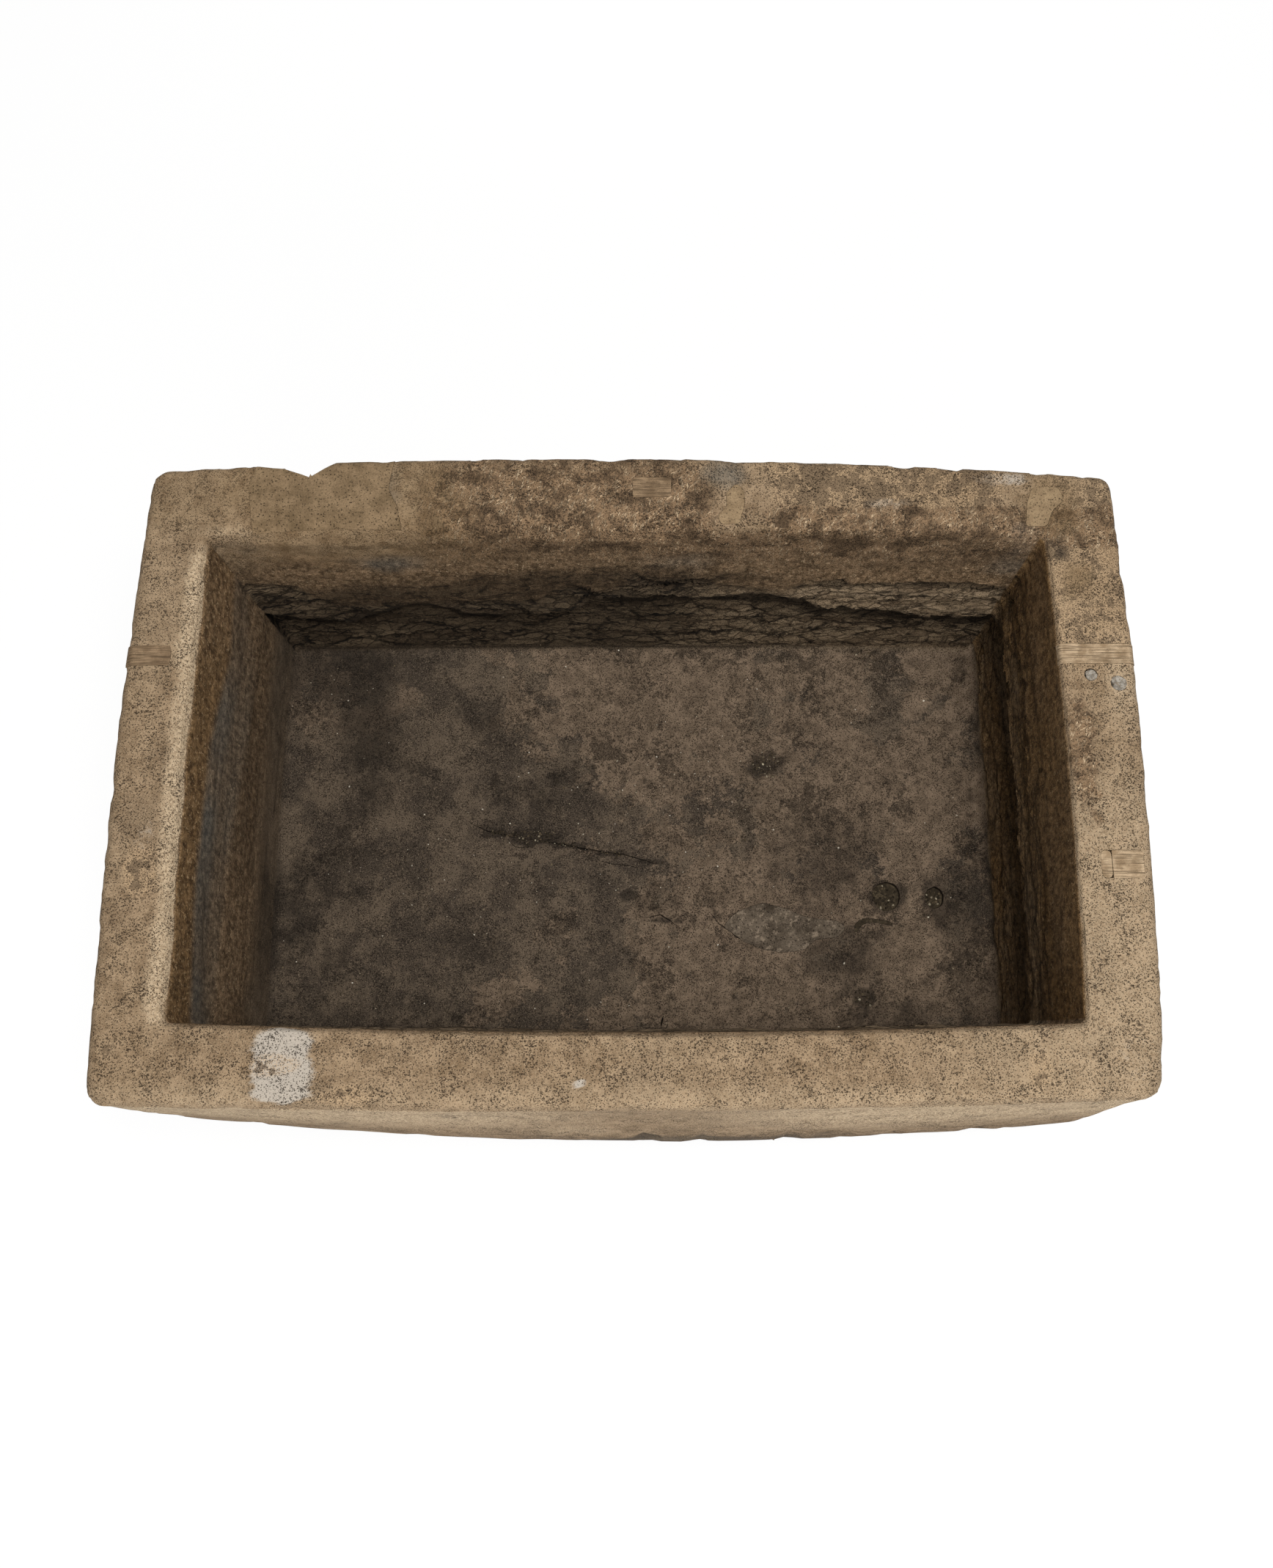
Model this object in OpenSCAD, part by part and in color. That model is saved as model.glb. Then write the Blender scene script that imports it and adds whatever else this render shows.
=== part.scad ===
// Stone trough sink: one hand-hewn block with a deep basin, mended over the years with
// lime mortar in its rim and floor, and with two lead plugs in old dowel holes.
// Millimetres. X runs along the length, Y from the front to the back, Z up.
// The origin is the middle of the underside, between the square corners.

/* [Block] */
// Length of the rim between its square corners, left to right
block_length = 1115; // [1000:5:1340]
// Width of the rim between its square corners, front to back
block_width = 714; // [640:2:860]
// Height from the ground to the rim
block_height = 420; // [380:5:510]
// Radius of the upright corners: front left, front right, back right, back left
corner_radii = [20, 28, 18, 10]; // [6:1:40]
// How far the back of the block lies to the right of its front
lean = 2.5; // [0:0.5:6]
// How far the back and front draw together from left to right, each from its middle
taper = 3.5; // [0:0.5:6]
// Outward bow of each side at the rim: front, right, back, left
rim_bows = [8, 8, 20, 8]; // [0:1:30]
// Further bow of each side at the belly of the block: front, right, back, left
belly_bows = [17, 9, 10, 12]; // [0:1:40]
// How far the ends of each side stand out at the belly: front, right, back, left
belly_swells = [10, 3, 4, 3]; // [0:1:16]
// Height of the belly, where the sides stand out furthest
belly_height = 110; // [80:5:200]
// How far the foot of the block draws in below the belly
foot_draw = 9; // [0:1:15]
// Radius of the worn arris between the rim and the outer faces
arris_radius = 15; // [8:1:18]
// Depth of the hewing marks left on the outer faces
hewing_depth = 3; // [0:0.2:4]

/* [Basin] */
// Width of the rim at the front
rim_front = 82; // [68:1:100]
// Width of the rim at the right
rim_right = 82.5; // [68:0.5:100]
// Width of the rim at the back
rim_back = 83; // [70:1:100]
// Width of the rim at the left
rim_left = 75.5; // [62:0.5:100]
// Depth of the basin from the rim to the floor
basin_depth = 340; // [300:5:360]
// Outward bow of the basin's sides at the rim: front, right, back, left
basin_bows = [10, 5, 8, 6]; // [0:1:14]
// Radius of the basin's upright corners
basin_corner_radius = 13; // [8:1:30]
// Radius of the worn lip between the rim and the basin walls
lip_radius = 9; // [5:1:14]
// Inward slope of each wall from rim to floor: front, right, back, left
wall_slopes = [20, 4, 6, 20]; // [0:1:30]
// Mean depth of the cleft ledge below the rim, where the lower cut undercuts the walls
ledge_depth = 196; // [160:4:230]
// How far the stone above the ledge overhangs the lower cut
ledge_overhang = 19; // [4:1:23]
// Share of that overhang at each wall: front, right, back, left
overhang_shares = [0.8, 0.85, 1, 0.35]; // [0.2:0.05:1]
// How far the ledge wanders up and down along the walls
ledge_wander = 60; // [0:2:72]
// Step of the split face above the ledge
split_step = 6; // [0:1:8]
// Radius of the cove between the walls and the floor
cove_radius = 16; // [8:1:24]
// Depth of the pick marks left on the basin walls
pick_depth = 2.6; // [0:0.2:3.2]
// How far the middle of the floor is worn below its edge
floor_dish = 3; // [0:0.5:6]

/* [Damage] */
// Width of the chip in the back arris, near the left
notch_width = 50; // [30:1:80]
// How far that chip bites in from the back face
notch_bite = 13; // [6:1:24]
// How far that chip runs down the back face
notch_drop = 80; // [40:1:110]
// Distance of that chip from the left end of the rim
notch_inset = 188.5; // [140:0.5:240]
// Width of the flat broken across the back left corner
corner_break = 21; // [8:1:30]
// How far that break runs down the corner
break_drop = 130; // [60:5:160]
// Height of the hollow spalled from the foot of the front face
spall_height = 34; // [15:1:60]
// Distance of that hollow from the right end of the block
spall_inset = 457; // [350:1:600]

/* [Repairs] */
// Depth of the beds cut for the mortar in the rim
rim_bed_depth = 9; // [6:0.5:12]
// Spacing of the comb lines drawn in the combed mortar
comb_pitch = 2.4; // [1.8:0.1:4]
// Depth of the comb lines
comb_depth = 0.8; // [0.3:0.1:1]
// Length and width of the combed mortar across the right rim
right_comb_size = [100, 24]; // [10:1:120]
// Distance of its middle from the back end of the rim
right_comb_inset = 225; // [180:1:280]
// Length and width of the squared mortar on the right rim
right_square_size = [46, 31]; // [10:1:60]
// Distance of its middle from the front end of the rim
right_square_inset = 250; // [200:1:300]
// Length and width of the combed mortar at the left rim's outer edge
left_comb_size = [60, 24]; // [10:1:70]
// Distance of its middle from the back end of the rim
left_comb_inset = 228; // [180:1:280]
// Length and width of the combed mortar on the back rim
back_comb_size = [45, 26]; // [10:1:60]
// Distance of its middle from the right end of the rim
back_comb_inset = 531.5; // [420:0.5:600]
// Diameters of the two lead plugs in the right rim: inner, outer
plug_diameters = [14, 17]; // [8:1:24]
// Depth of their dowel holes
plug_depth = 45; // [25:1:70]
// Distances of the plugs from the middle of the combed mortar, towards the front
plug_offsets = [25, 35]; // [20:1:50]
// Distances of the plugs from the right end of the rim: inner, outer
plug_insets = [45.5, 15.5]; // [14:0.5:60]
// How far the lead stands above the rim
plug_crown = 0.8; // [0.2:0.1:2]
// Diameter of the drain hole through the floor
drain_diameter = 36; // [24:1:50]
// Depth at which the gravel mortar that fills the drain hole lies below the floor
drain_sink = 4; // [0:0.5:15]
// Distance of the drain hole from the right wall of the basin, at the rim
drain_from_right = 138; // [100:1:200]
// Distance of the drain hole from the front wall of the basin, at the rim
drain_from_front = 196; // [150:1:260]
// Diameter of the shallow pit beside the drain hole
pit_diameter = 27; // [12:1:40]
// Depth of that pit
pit_depth = 11; // [5:0.5:20]
// Distance of that pit from the drain hole, towards the right
pit_spacing = 63; // [45:1:90]
// Depth of the grey mortar bedded in the floor
floor_bed_depth = 10; // [5:0.5:16]
// Clearance round what fills a round hole
fit_gap = 0.3; // [0.1:0.05:0.5]

/* [Hidden] */

stone = [0.56, 0.47, 0.37];
combed = [0.68, 0.58, 0.46];
ochre = [0.55, 0.46, 0.33];
grey = [0.40, 0.37, 0.34];
gravel = [0.29, 0.26, 0.21];
lead = [0.55, 0.56, 0.54];

round_fn = 48;

// Stations round the block: along a long side, along a short side and round a corner.
long_steps = 32;
short_steps = 20;
corner_steps = 4;
stations = 2 * (long_steps + short_steps) + 4 * corner_steps;

right_end = block_length / 2;
back_end = block_width / 2;
rim_z = block_height;
floor_z = block_height - basin_depth;
basin_right = right_end - rim_right;
basin_left = right_end - rim_left;
basin_front = back_end - rim_front;
basin_back = back_end - rim_back;

// Where the repairs lie.
drain_at = [basin_right - drain_from_right, -basin_front + drain_from_front];
pit_at = drain_at + [pit_spacing, -2];
seam_at = drain_at + [-142, -42];
right_comb_at = [right_end - rim_right / 2 + 4, back_end - right_comb_inset];
right_square_at = [right_end - 30, -back_end + right_square_inset];
left_comb_at = [-right_end + 17.5, back_end - left_comb_inset];
back_comb_at = [right_end - back_comb_inset, back_end - rim_back / 2 + 20];
middle_at = [back_comb_at.x + 94, basin_back + lip_radius + 6];
notch_at = [-right_end + notch_inset, back_end + rim_bows[2] * 0.57];
function plug_at(i) = [right_end - plug_insets[i], right_comb_at.y - plug_offsets[i]];

function mix(a, b, t) = a + (b - a) * t;

// A slow, irregular rise and fall between about -1 and 1, as a mason's hand leaves.
function hewn(x, y, z) =
    0.42 * sin(1.9 * x + 0.7 * z + 40) * cos(1.3 * y - 1.1 * z)
    + 0.33 * sin(4.3 * x - 2.9 * z + 3.7 * y) + 0.25 * cos(6.1 * y + 5.3 * z - 2.3 * x);

// Rise and fall of the ledge round the basin: highest right of the middle of the back wall.
function ledge_wave(x, y) =
    0.72 * cos(0.42 * (x - 70)) * pow(max(0, y / basin_back), 3)
    + 0.18 * sin(1.7 * x + 0.9 * y) + 0.1 * sin(4.1 * x - 3.3 * y);

// Stations of a plan outline with bowed sides and round corners. reach is how far its
// front, right, back and left sides stand from the origin. Each station holds a point
// and the outward direction there.
function side(a, b, bow, out, steps) =
    [for (i = [0 : steps]) let (t = i / steps, p = mix(a, b, t) + out * bow * 4 * t * (1 - t))
        [p.x, p.y, out.x, out.y]];
function corner(c, r, from) =
    [for (i = [1 : corner_steps - 1]) let (a = from + 90 * i / corner_steps)
        [c.x + r * cos(a), c.y + r * sin(a), cos(a), sin(a)]];
function outline(reach, bows, radii) =
    let (
        f = -reach[0],
        r = reach[1],
        b = reach[2],
        l = -reach[3],
        fl = radii[0],
        fr = radii[1],
        br = radii[2],
        bl = radii[3])
    concat(
        side([l + fl, f], [r - fr, f], bows[0], [0, -1], long_steps),
        corner([r - fr, f + fr], fr, -90),
        side([r, f + fr], [r, b - br], bows[1], [1, 0], short_steps),
        corner([r - br, b - br], br, 0),
        side([r - br, b], [l + bl, b], bows[2], [0, 1], long_steps),
        corner([l + bl, b - bl], bl, 90),
        side([l, b - bl], [l, f + fl], bows[3], [-1, 0], short_steps),
        corner([l + fl, f + fl], fl, 180));

// A ring of points through the stations, roughened outwards. Its height may follow the ledge.
function ring(plan, z, rough = 0, wander = 0) =
    [for (s = plan) let (d = rough * hewn(s.x, s.y, z))
        [s.x + s[2] * d, s.y + s[3] * d, z + wander * ledge_wave(s.x, s.y)]];

// Outer faces: drawn in at the foot, bellied low down, upright below the rim.
function belly_at(z) = z < belly_height ? 1 - 0.3 * pow(1 - z / belly_height, 2)
    : 0.5 + 0.5 * cos(180 * (z - belly_height) / (rim_z - belly_height));
function draw_at(z) = z < belly_height ? foot_draw * pow(1 - z / belly_height, 2) : 0;
function out_of_square(p, z) =
    let (drawn = taper / back_end * (1 - 2 * belly_at(z)) * p.x / right_end)
    [p.x + lean * p.y / back_end, p.y * (1 - drawn), p[2], p[3]];
function outer_ring(z, inset = 0, rough = 1) =
    let (
        d = inset + draw_at(z),
        reach = [back_end, right_end, back_end, right_end] - [d, d, d, d] + belly_at(z) * belly_swells,
        plan = outline(reach, rim_bows + belly_at(z) * belly_bows, corner_radii))
    ring([for (p = plan) out_of_square(p, z)], z, rough * hewing_depth);

// Basin walls: depth is measured down from the rim, and inset is taken inwards.
function basin_ring(depth, inset = 0, rough = 1, wander = 0) =
    let (
        fall = depth / basin_depth,
        reach = [basin_front, basin_right, basin_back, basin_left] - fall * wall_slopes,
        r = max(4, basin_corner_radius - inset / 2),
        i = [for (share = overhang_shares) inset < 0 && depth > lip_radius ? share * inset : inset],
        plan = outline(reach - i, basin_bows * (1 - 0.6 * fall), [r, r, r, r]))
    ring(plan, rim_z - depth, -rough * pick_depth, wander);

foot_rings = concat(
    [outer_ring(0, 6, 0.3), outer_ring(4, 1, 0.7)],
    [for (t = [0.25, 0.6, 1]) outer_ring(t * belly_height)],
    [for (t = [0.28, 0.56]) outer_ring(mix(belly_height, rim_z, t))]);

// From the upper outer face, over the worn arris and the flat of the rim, into the basin.
rim_rings = concat(
    [outer_ring(mix(belly_height, rim_z, 0.82))],
    [for (a = [0 : 30 : 90])
        outer_ring(rim_z - arris_radius * (1 - sin(a)), arris_radius * (1 - cos(a)), cos(a))],
    [for (a = [90 : -30 : 0]) basin_ring(lip_radius * (1 - sin(a)), -lip_radius * (1 - cos(a)), cos(a))],
    [basin_ring(0.24 * ledge_depth, 1, 1, ledge_wander * 0.04)]);

// The upper walls come down to a split face and its ledge, under which the lower cut opens out.
lower_top = ledge_depth + 8;
lower_end = basin_depth - cove_radius;
wall_rings = concat(
    [for (t = [0.44, 0.6]) basin_ring(t * ledge_depth, 3 * t, 1, ledge_wander * t * t)],
    [basin_ring(0.64 * ledge_depth, 2 - split_step, 1, ledge_wander * 0.44)],
    [basin_ring(0.8 * ledge_depth, 1 - split_step * 0.4, 1.3, ledge_wander * 0.68)],
    [basin_ring(ledge_depth - 4, 5, 1.5, ledge_wander)],
    [basin_ring(ledge_depth + 3, 3 - ledge_overhang * 0.4, 1.5, ledge_wander)],
    [basin_ring(lower_top, 5 - ledge_overhang, 1, ledge_wander)],
    [for (t = [0.25, 0.5, 0.75])
        basin_ring(mix(lower_top, lower_end, t), (5 - ledge_overhang) * (1 - t * t), 1,
            ledge_wander * pow(1 - t, 2))]);
dish_inset = basin_front * 0.7;
floor_rings = concat(
    [for (a = [0 : 30 : 90])
        basin_ring(basin_depth - cove_radius * (1 - sin(a)), cove_radius * (1 - cos(a)), 0.6 * cos(a))],
    [basin_ring(basin_depth + floor_dish, dish_inset, 0)]);

// Level of the worn floor at a point in front of the middle of the basin.
function floor_level(at) =
    let (from_cove = at.y + basin_front - wall_slopes[0] - cove_radius)
    floor_z - floor_dish * min(1, from_cove / (dish_inset - cove_radius));

// The two triangles between neighbours a and b of one row and the same two of the next.
function band(a, b, next) = [[a, b + next, b], [a, a + next, b + next]];

// The solid skinned through closed rings of stations, from the underside to the floor.
module loft(rings) {
    last = stations * (len(rings) - 1);
    polyhedron(
        points = [for (r = rings, p = r) p],
        faces = concat(
            [[for (i = [0 : stations - 1]) i]],
            [for (k = [0 : len(rings) - 2], i = [0 : stations - 1])
                each band(k * stations + i, k * stations + (i + 1) % stations, stations)],
            [[for (i = [stations - 1 : -1 : 0]) last + i]]),
        convexity = 6);
}

// A length of the rim from one station to another, closed underneath, with the block's own skin.
module rim_bar(from, to) {
    m = len(rim_rings);
    polyhedron(
        points = [for (i = [from : to], r = rim_rings) r[i % stations]],
        faces = concat(
            [for (i = [0 : to - from - 1], k = [0 : m - 1])
                let (a = i * m + k, b = i * m + (k + 1) % m)
                    each k < m - 1 ? [[a, b + m, a + m], [a, b, b + m]] : [[a, b, b + m], [a, b + m, a + m]]],
            [[for (k = [m - 1 : -1 : 0]) k]],
            [[for (k = [0 : m - 1]) (to - from) * m + k]]),
        convexity = 4);
}

// A shell-shaped chip out of the back arris, running out down the back face.
module back_notch() {
    radius = (notch_width * notch_width / 4 + notch_bite * notch_bite) / (2 * notch_bite);
    translate([notch_at.x, notch_at.y - notch_bite, rim_z])
        rotate([atan(notch_bite / notch_drop), 0, 0])
            translate([0, radius, -notch_drop - 20])
                cylinder(h = notch_drop + 50, r1 = radius * 0.8, r2 = radius, $fn = round_fn);
}

// The back left corner, broken off at a slant that runs out down the corner.
module broken_corner() {
    translate([-right_end + lean, back_end + taper, rim_z])
        rotate([0, 0, 45])
            translate([0, -corner_break / 2, 0])
                rotate([atan(corner_break / 2 / break_drop), 0, 0])
                    translate([-60, 0, -break_drop * 1.5])
                        cube([120, 60, break_drop * 1.5 + 40]);
}

// A hollow spalled from the foot of the front face.
module foot_spall() {
    translate([right_end - spall_inset, -back_end - rim_bows[0] - belly_bows[0] + 2, -spall_height * 0.2])
        rotate([0, 90, 0])
            cylinder(h = 4 * spall_height, d = spall_height, center = true, $fn = round_fn);
}

// A block on the rim, and a round hole from a given level down.
module rim_block(at, size, depth) {
    translate([at.x - size.x / 2, at.y - size.y / 2, rim_z - depth])
        cube([size.x, size.y, depth + 30]);
}
module round_hole(at, diameter, top, depth) {
    translate([at.x, at.y, top - depth])
        cylinder(h = depth + 30, d = diameter + 2 * fit_gap, $fn = round_fn);
}

// Plans of the irregular patches, each drawn round its own place.
module notch_mortar_plan() {
    translate([notch_at.x, basin_back])
        polygon([
            [-64, 20], [-60, -25], [96, -25], [108, 4], [104, 34],
            [92, 58], [100, 130], [-52, 130], [-70, 62]]);
}
module middle_mortar_plan() {
    translate(middle_at)
        polygon([[-16, 0], [7, 0], [10, 14], [14, 30], [11, 46], [2, 52], [-9, 38], [-8, 22], [-19, 12]]);
}
module corner_mortar_plan() {
    translate([basin_right, basin_back + lip_radius])
        polygon([[-22, 3], [4, 4], [9, 22], [25, 36], [19, 54], [-12, 52], [-19, 30]]);
}
module floor_patch_plan() {
    translate(seam_at)
        polygon([
            [-74, 2], [-62, 16], [-48, 25], [-20, 34], [8, 26], [36, 14], [78, 9], [88, 0], [78, -12],
            [46, -16], [30, -30], [2, -33], [-24, -28], [-50, -16]]);
}
module floor_seam_plan() {
    translate(seam_at)
        polygon([
            [97, -2], [101, 8], [112, 13], [130, 12], [150, 8],
            [150, 2], [131, 6], [114, 7], [107, 2], [101, -8]]);
}

module rim_prism() {
    translate([0, 0, rim_z - rim_bed_depth]) linear_extrude(height = rim_bed_depth + 30) children();
}
module floor_prism() {
    translate([0, 0, floor_level(seam_at) - floor_bed_depth])
        linear_extrude(height = floor_bed_depth + 30) children();
}

module trough_block() {
    color(stone) difference() {
        loft(concat(foot_rings, rim_rings, wall_rings, floor_rings));
        back_notch();
        broken_corner();
        foot_spall();
        rim_block(right_comb_at, right_comb_size, rim_bed_depth);
        rim_block(right_square_at, right_square_size, rim_bed_depth);
        rim_block(left_comb_at, left_comb_size, rim_bed_depth);
        rim_block(back_comb_at, back_comb_size, rim_bed_depth);
        rim_prism() notch_mortar_plan();
        rim_prism() middle_mortar_plan();
        rim_prism() corner_mortar_plan();
        floor_prism() floor_patch_plan();
        floor_prism() floor_seam_plan();
        round_hole(plug_at(0), plug_diameters[0], rim_z, plug_depth);
        round_hole(plug_at(1), plug_diameters[1], rim_z, plug_depth);
        round_hole(drain_at, drain_diameter, floor_z, floor_z + 1);
        round_hole(pit_at, pit_diameter, floor_level(pit_at), pit_depth);
    }
}

// Mortar struck off a little below the rim and drawn over with a comb, its lines along X.
module combed_block(at, size) {
    lines = floor(size.y / comb_pitch);
    top = -0.2;
    translate([at.x - size.x / 2, at.y, rim_z]) rotate([90, 0, 90])
        linear_extrude(height = size.x)
            polygon(concat(
                [[-size.y / 2, -rim_bed_depth], [size.y / 2, -rim_bed_depth]],
                [for (i = [lines - 1 : -1 : 0]) each [
                    [size.y * ((i + 1) / lines - 0.5), top - comb_depth],
                    [size.y * ((i + 0.75) / lines - 0.5), top],
                    [size.y * ((i + 0.35) / lines - 0.5), top]]],
                [[-size.y / 2, top - comb_depth]]));
}

module right_rim_combed_mortar() {
    color(combed) intersection() {
        combed_block(right_comb_at, right_comb_size);
        rim_bar(long_steps + corner_steps, long_steps + corner_steps + short_steps);
    }
}

module left_rim_combed_mortar() {
    color(combed) intersection() {
        combed_block(left_comb_at, left_comb_size);
        rim_bar(stations - corner_steps - short_steps, stations - corner_steps);
    }
}

// Two coats: a thin slip on the left, and the thicker squared pad that was laid against it.
module right_rim_squared_mortar() {
    slip = 12;
    corner_at = right_square_at - right_square_size / 2;
    color(combed) intersection() {
        union() {
            combed_block(right_square_at + [slip / 2, 0], right_square_size - [slip, 0]);
            translate([corner_at.x, corner_at.y, rim_z - rim_bed_depth])
                cube([slip, right_square_size.y, rim_bed_depth - 0.6]);
        }
        rim_bar(long_steps + corner_steps, long_steps + corner_steps + short_steps);
    }
}

module back_rim_combed_mortar() {
    color(combed) combed_block(back_comb_at, back_comb_size);
}

module back_rim_notch_mortar() {
    start = long_steps + 2 * corner_steps + short_steps;
    color(ochre) intersection() {
        difference() {
            rim_bar(start + long_steps / 2, start + long_steps);
            back_notch();
        }
        rim_prism() notch_mortar_plan();
    }
}

module plain_rim_mortar() {
    color(ochre) translate([0, 0, rim_z - rim_bed_depth]) linear_extrude(height = rim_bed_depth) children();
}

module floor_mortar(tint, proud) {
    color(tint) translate([0, 0, floor_level(seam_at) - floor_bed_depth])
        linear_extrude(height = floor_bed_depth + proud) children();
}

module lead_plug(i) {
    color(lead) translate([plug_at(i).x, plug_at(i).y, rim_z - plug_depth]) {
        cylinder(h = plug_depth, d = plug_diameters[i], $fn = round_fn);
        translate([0, 0, plug_depth])
            cylinder(h = plug_crown, d1 = plug_diameters[i], d2 = plug_diameters[i] * 0.7, $fn = round_fn);
    }
}

// The drain hole goes through the floor. Its mortar stops short of the underside.
module drain_hole_mortar() {
    foot = 6;
    color(gravel) translate([drain_at.x, drain_at.y, foot])
        cylinder(h = floor_level(drain_at) - drain_sink - foot, d = drain_diameter, $fn = round_fn);
}

module floor_pit_mortar() {
    color(gravel) translate([pit_at.x, pit_at.y, floor_level(pit_at) - pit_depth])
        cylinder(h = pit_depth - 1.5, d = pit_diameter, $fn = round_fn);
}

trough_block();
drain_hole_mortar();
floor_pit_mortar();
floor_mortar(grey, 0.8) floor_patch_plan();  // floor_mortar_patch
floor_mortar(gravel, 0.2) floor_seam_plan();  // floor_seam_mortar
right_rim_combed_mortar();
right_rim_squared_mortar();
left_rim_combed_mortar();
back_rim_combed_mortar();
back_rim_notch_mortar();
plain_rim_mortar() middle_mortar_plan();  // back_rim_middle_mortar
plain_rim_mortar() corner_mortar_plan();  // back_rim_corner_mortar
lead_plug(0);  // inner_lead_plug
lead_plug(1);  // outer_lead_plug
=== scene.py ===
import math

import bmesh
import bpy
import numpy as np
from mathutils import Matrix, Vector
from mathutils.kdtree import KDTree


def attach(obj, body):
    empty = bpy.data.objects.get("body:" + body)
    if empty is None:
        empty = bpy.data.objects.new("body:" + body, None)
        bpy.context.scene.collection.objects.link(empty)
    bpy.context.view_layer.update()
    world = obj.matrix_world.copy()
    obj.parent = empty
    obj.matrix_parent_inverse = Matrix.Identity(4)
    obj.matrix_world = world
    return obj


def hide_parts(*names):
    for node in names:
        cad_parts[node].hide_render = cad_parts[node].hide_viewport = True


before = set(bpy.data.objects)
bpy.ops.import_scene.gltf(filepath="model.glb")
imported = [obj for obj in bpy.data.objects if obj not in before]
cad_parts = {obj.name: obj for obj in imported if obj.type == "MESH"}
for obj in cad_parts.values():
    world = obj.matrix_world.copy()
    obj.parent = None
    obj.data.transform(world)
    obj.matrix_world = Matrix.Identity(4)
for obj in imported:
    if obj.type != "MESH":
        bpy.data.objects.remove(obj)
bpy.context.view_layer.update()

# Sizes of the trough, in metres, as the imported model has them. Sides run front, right, back,
# left. Corners run front left, front right, back right, back left.
MM = 0.001
HEIGHT = 0.420
BLOCK_REACH = (0.357, 0.5575, 0.357, 0.5575)
CORNER_RADII = (0.020, 0.028, 0.018, 0.010)
LEAN = 0.0025
TAPER = 0.0035
RIM_BOWS = (0.008, 0.008, 0.020, 0.008)
BELLY_BOWS = (0.017, 0.009, 0.010, 0.012)
BELLY_SWELLS = (0.010, 0.003, 0.004, 0.003)
BELLY_HEIGHT = 0.110
FOOT_DRAW = 0.009
MOUTH_REACH = (0.275, 0.475, 0.274, 0.482)
MOUTH_BOWS = (0.010, 0.005, 0.008, 0.006)
MOUTH_RADIUS = 0.006
BASIN_DEPTH = 0.340
WALL_SLOPES = (0.020, 0.004, 0.006, 0.020)
COVE = 0.016
FLOOR_DISH = 0.003
FLOOR = HEIGHT - BASIN_DEPTH
BED_DEPTH = 0.009
FLOOR_BED_DEPTH = 0.012
PLUG_DEPTH = 0.045
CUTTER_PAST = 0.02  # A cutter reaches so far past the stone that it cuts.
JOINT = 0.35 * MM
PLAN_STEP = 3.5 * MM

DRAIN_AT = (0.337, -0.079)
PIT_AT = (0.400, -0.081)
SEAM_AT = (0.195, -0.121)
RIGHT_COMB_AT = (0.52025, 0.132)
RIGHT_SQUARE_AT = (0.5275, -0.107)
LEFT_COMB_AT = (-0.540, 0.129)
BACK_COMB_AT = (0.026, 0.3355)
PLUGS = {"inner_lead_plug": (0.512, 0.107, 0.0070), "outer_lead_plug": (0.542, 0.097, 0.0085)}

# Stations round the block, on its four sides and round each corner.
STEPS = (92, 96, 212, 96)
CORNER_STEPS = 6
STATIONS = sum(STEPS) + 4 * CORNER_STEPS
OUT = ((0, -1), (1, 0), (0, 1), (-1, 0))
BACK_HALF = 0.478  # The back wall reaches so far to both sides before it turns round its corners.


# ---- Noise and marks -----------------------------------------------------------------

LATTICE_CELLS = 48
LATTICE = np.random.default_rng(11).uniform(-1.0, 1.0, (LATTICE_CELLS,) * 3)
SEED_STEP = np.array([7.31, 3.17, 5.73])


def drift(p, size, seed=0):
    """Smooth noise from -1 to 1. size is that of its swells in metres, one for all axes or each."""
    q = p / np.asarray(size, float) + seed * SEED_STEP
    cell = np.floor(q).astype(int)
    f = q - cell
    f = f * f * (3 - 2 * f)
    total = np.zeros(q.shape[:-1])
    for corner in np.ndindex(2, 2, 2):
        weight = np.prod(np.where(corner, f, 1 - f), axis=-1)
        total += weight * LATTICE[tuple(np.moveaxis((cell + corner) % LATTICE_CELLS, -1, 0))]
    return total


def rough(p, size, seed=0, octaves=4):
    """Several sizes of noise, each half as wide and deep as the last, from about -1 to 1."""
    size = np.asarray(size, float)
    return sum(drift(p, size / 2**n, seed + 3 * n) / 2**n for n in range(octaves)) / 1.5


def smooth(value, low, high):
    """0 below low, 1 above high, and an even rise between them."""
    t = np.clip((value - low) / (high - low), 0, 1)
    return t * t * (3 - 2 * t)


def hump(value, middle, width):
    """1 at middle, and an even fall to 0 on both sides of it."""
    return np.exp(-(((value - middle) / width) ** 2))


def blot(p, at, size, edge=0.35, ragged=0.35, seed=0):
    """A blot of half widths size round at, 1 in its middle, with a ragged edge, for stains and
    painted shade.
    """
    d = (p[..., : len(at)] - np.array(at)) / np.array(size)
    reach = np.sqrt((d**2).sum(-1)) + ragged * rough(p, 0.5 * min(size) + 0.004, seed)
    return 1 - smooth(reach, 1 - edge, 1 + edge)


def spots(p, edge, ragged, seed, *places):
    """Blots on a level face: x, y, half length and half width in millimetres, and strength in
    thousandths."""
    found = []
    for place in places:
        x, y, a, b, strength = (v / 1000 for v in place)
        found.append(strength * blot(p, (x, y), (a, b), edge, ragged, seed))
    return most(*found)


def most(*masks):
    """The highest of several masks at each point."""
    return np.maximum.reduce(masks)


def pairs(*values):
    """Pairs of numbers that are written in thousandths, such as places in millimetres."""
    return [(a / 1000, b / 1000) for a, b in zip(values[::2], values[1::2])]


def line(points, at):
    """Height at along a line of (place, height) points, level past both ends."""
    return np.interp(at, *zip(*sorted(points)))


def raised(plan, z=0.0):
    """The points of a plan, as points in space at height z."""
    return np.concatenate([plan, np.full((len(plan), 1), z)], -1)


# ---- The block's own skin ------------------------------------------------------------

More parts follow.
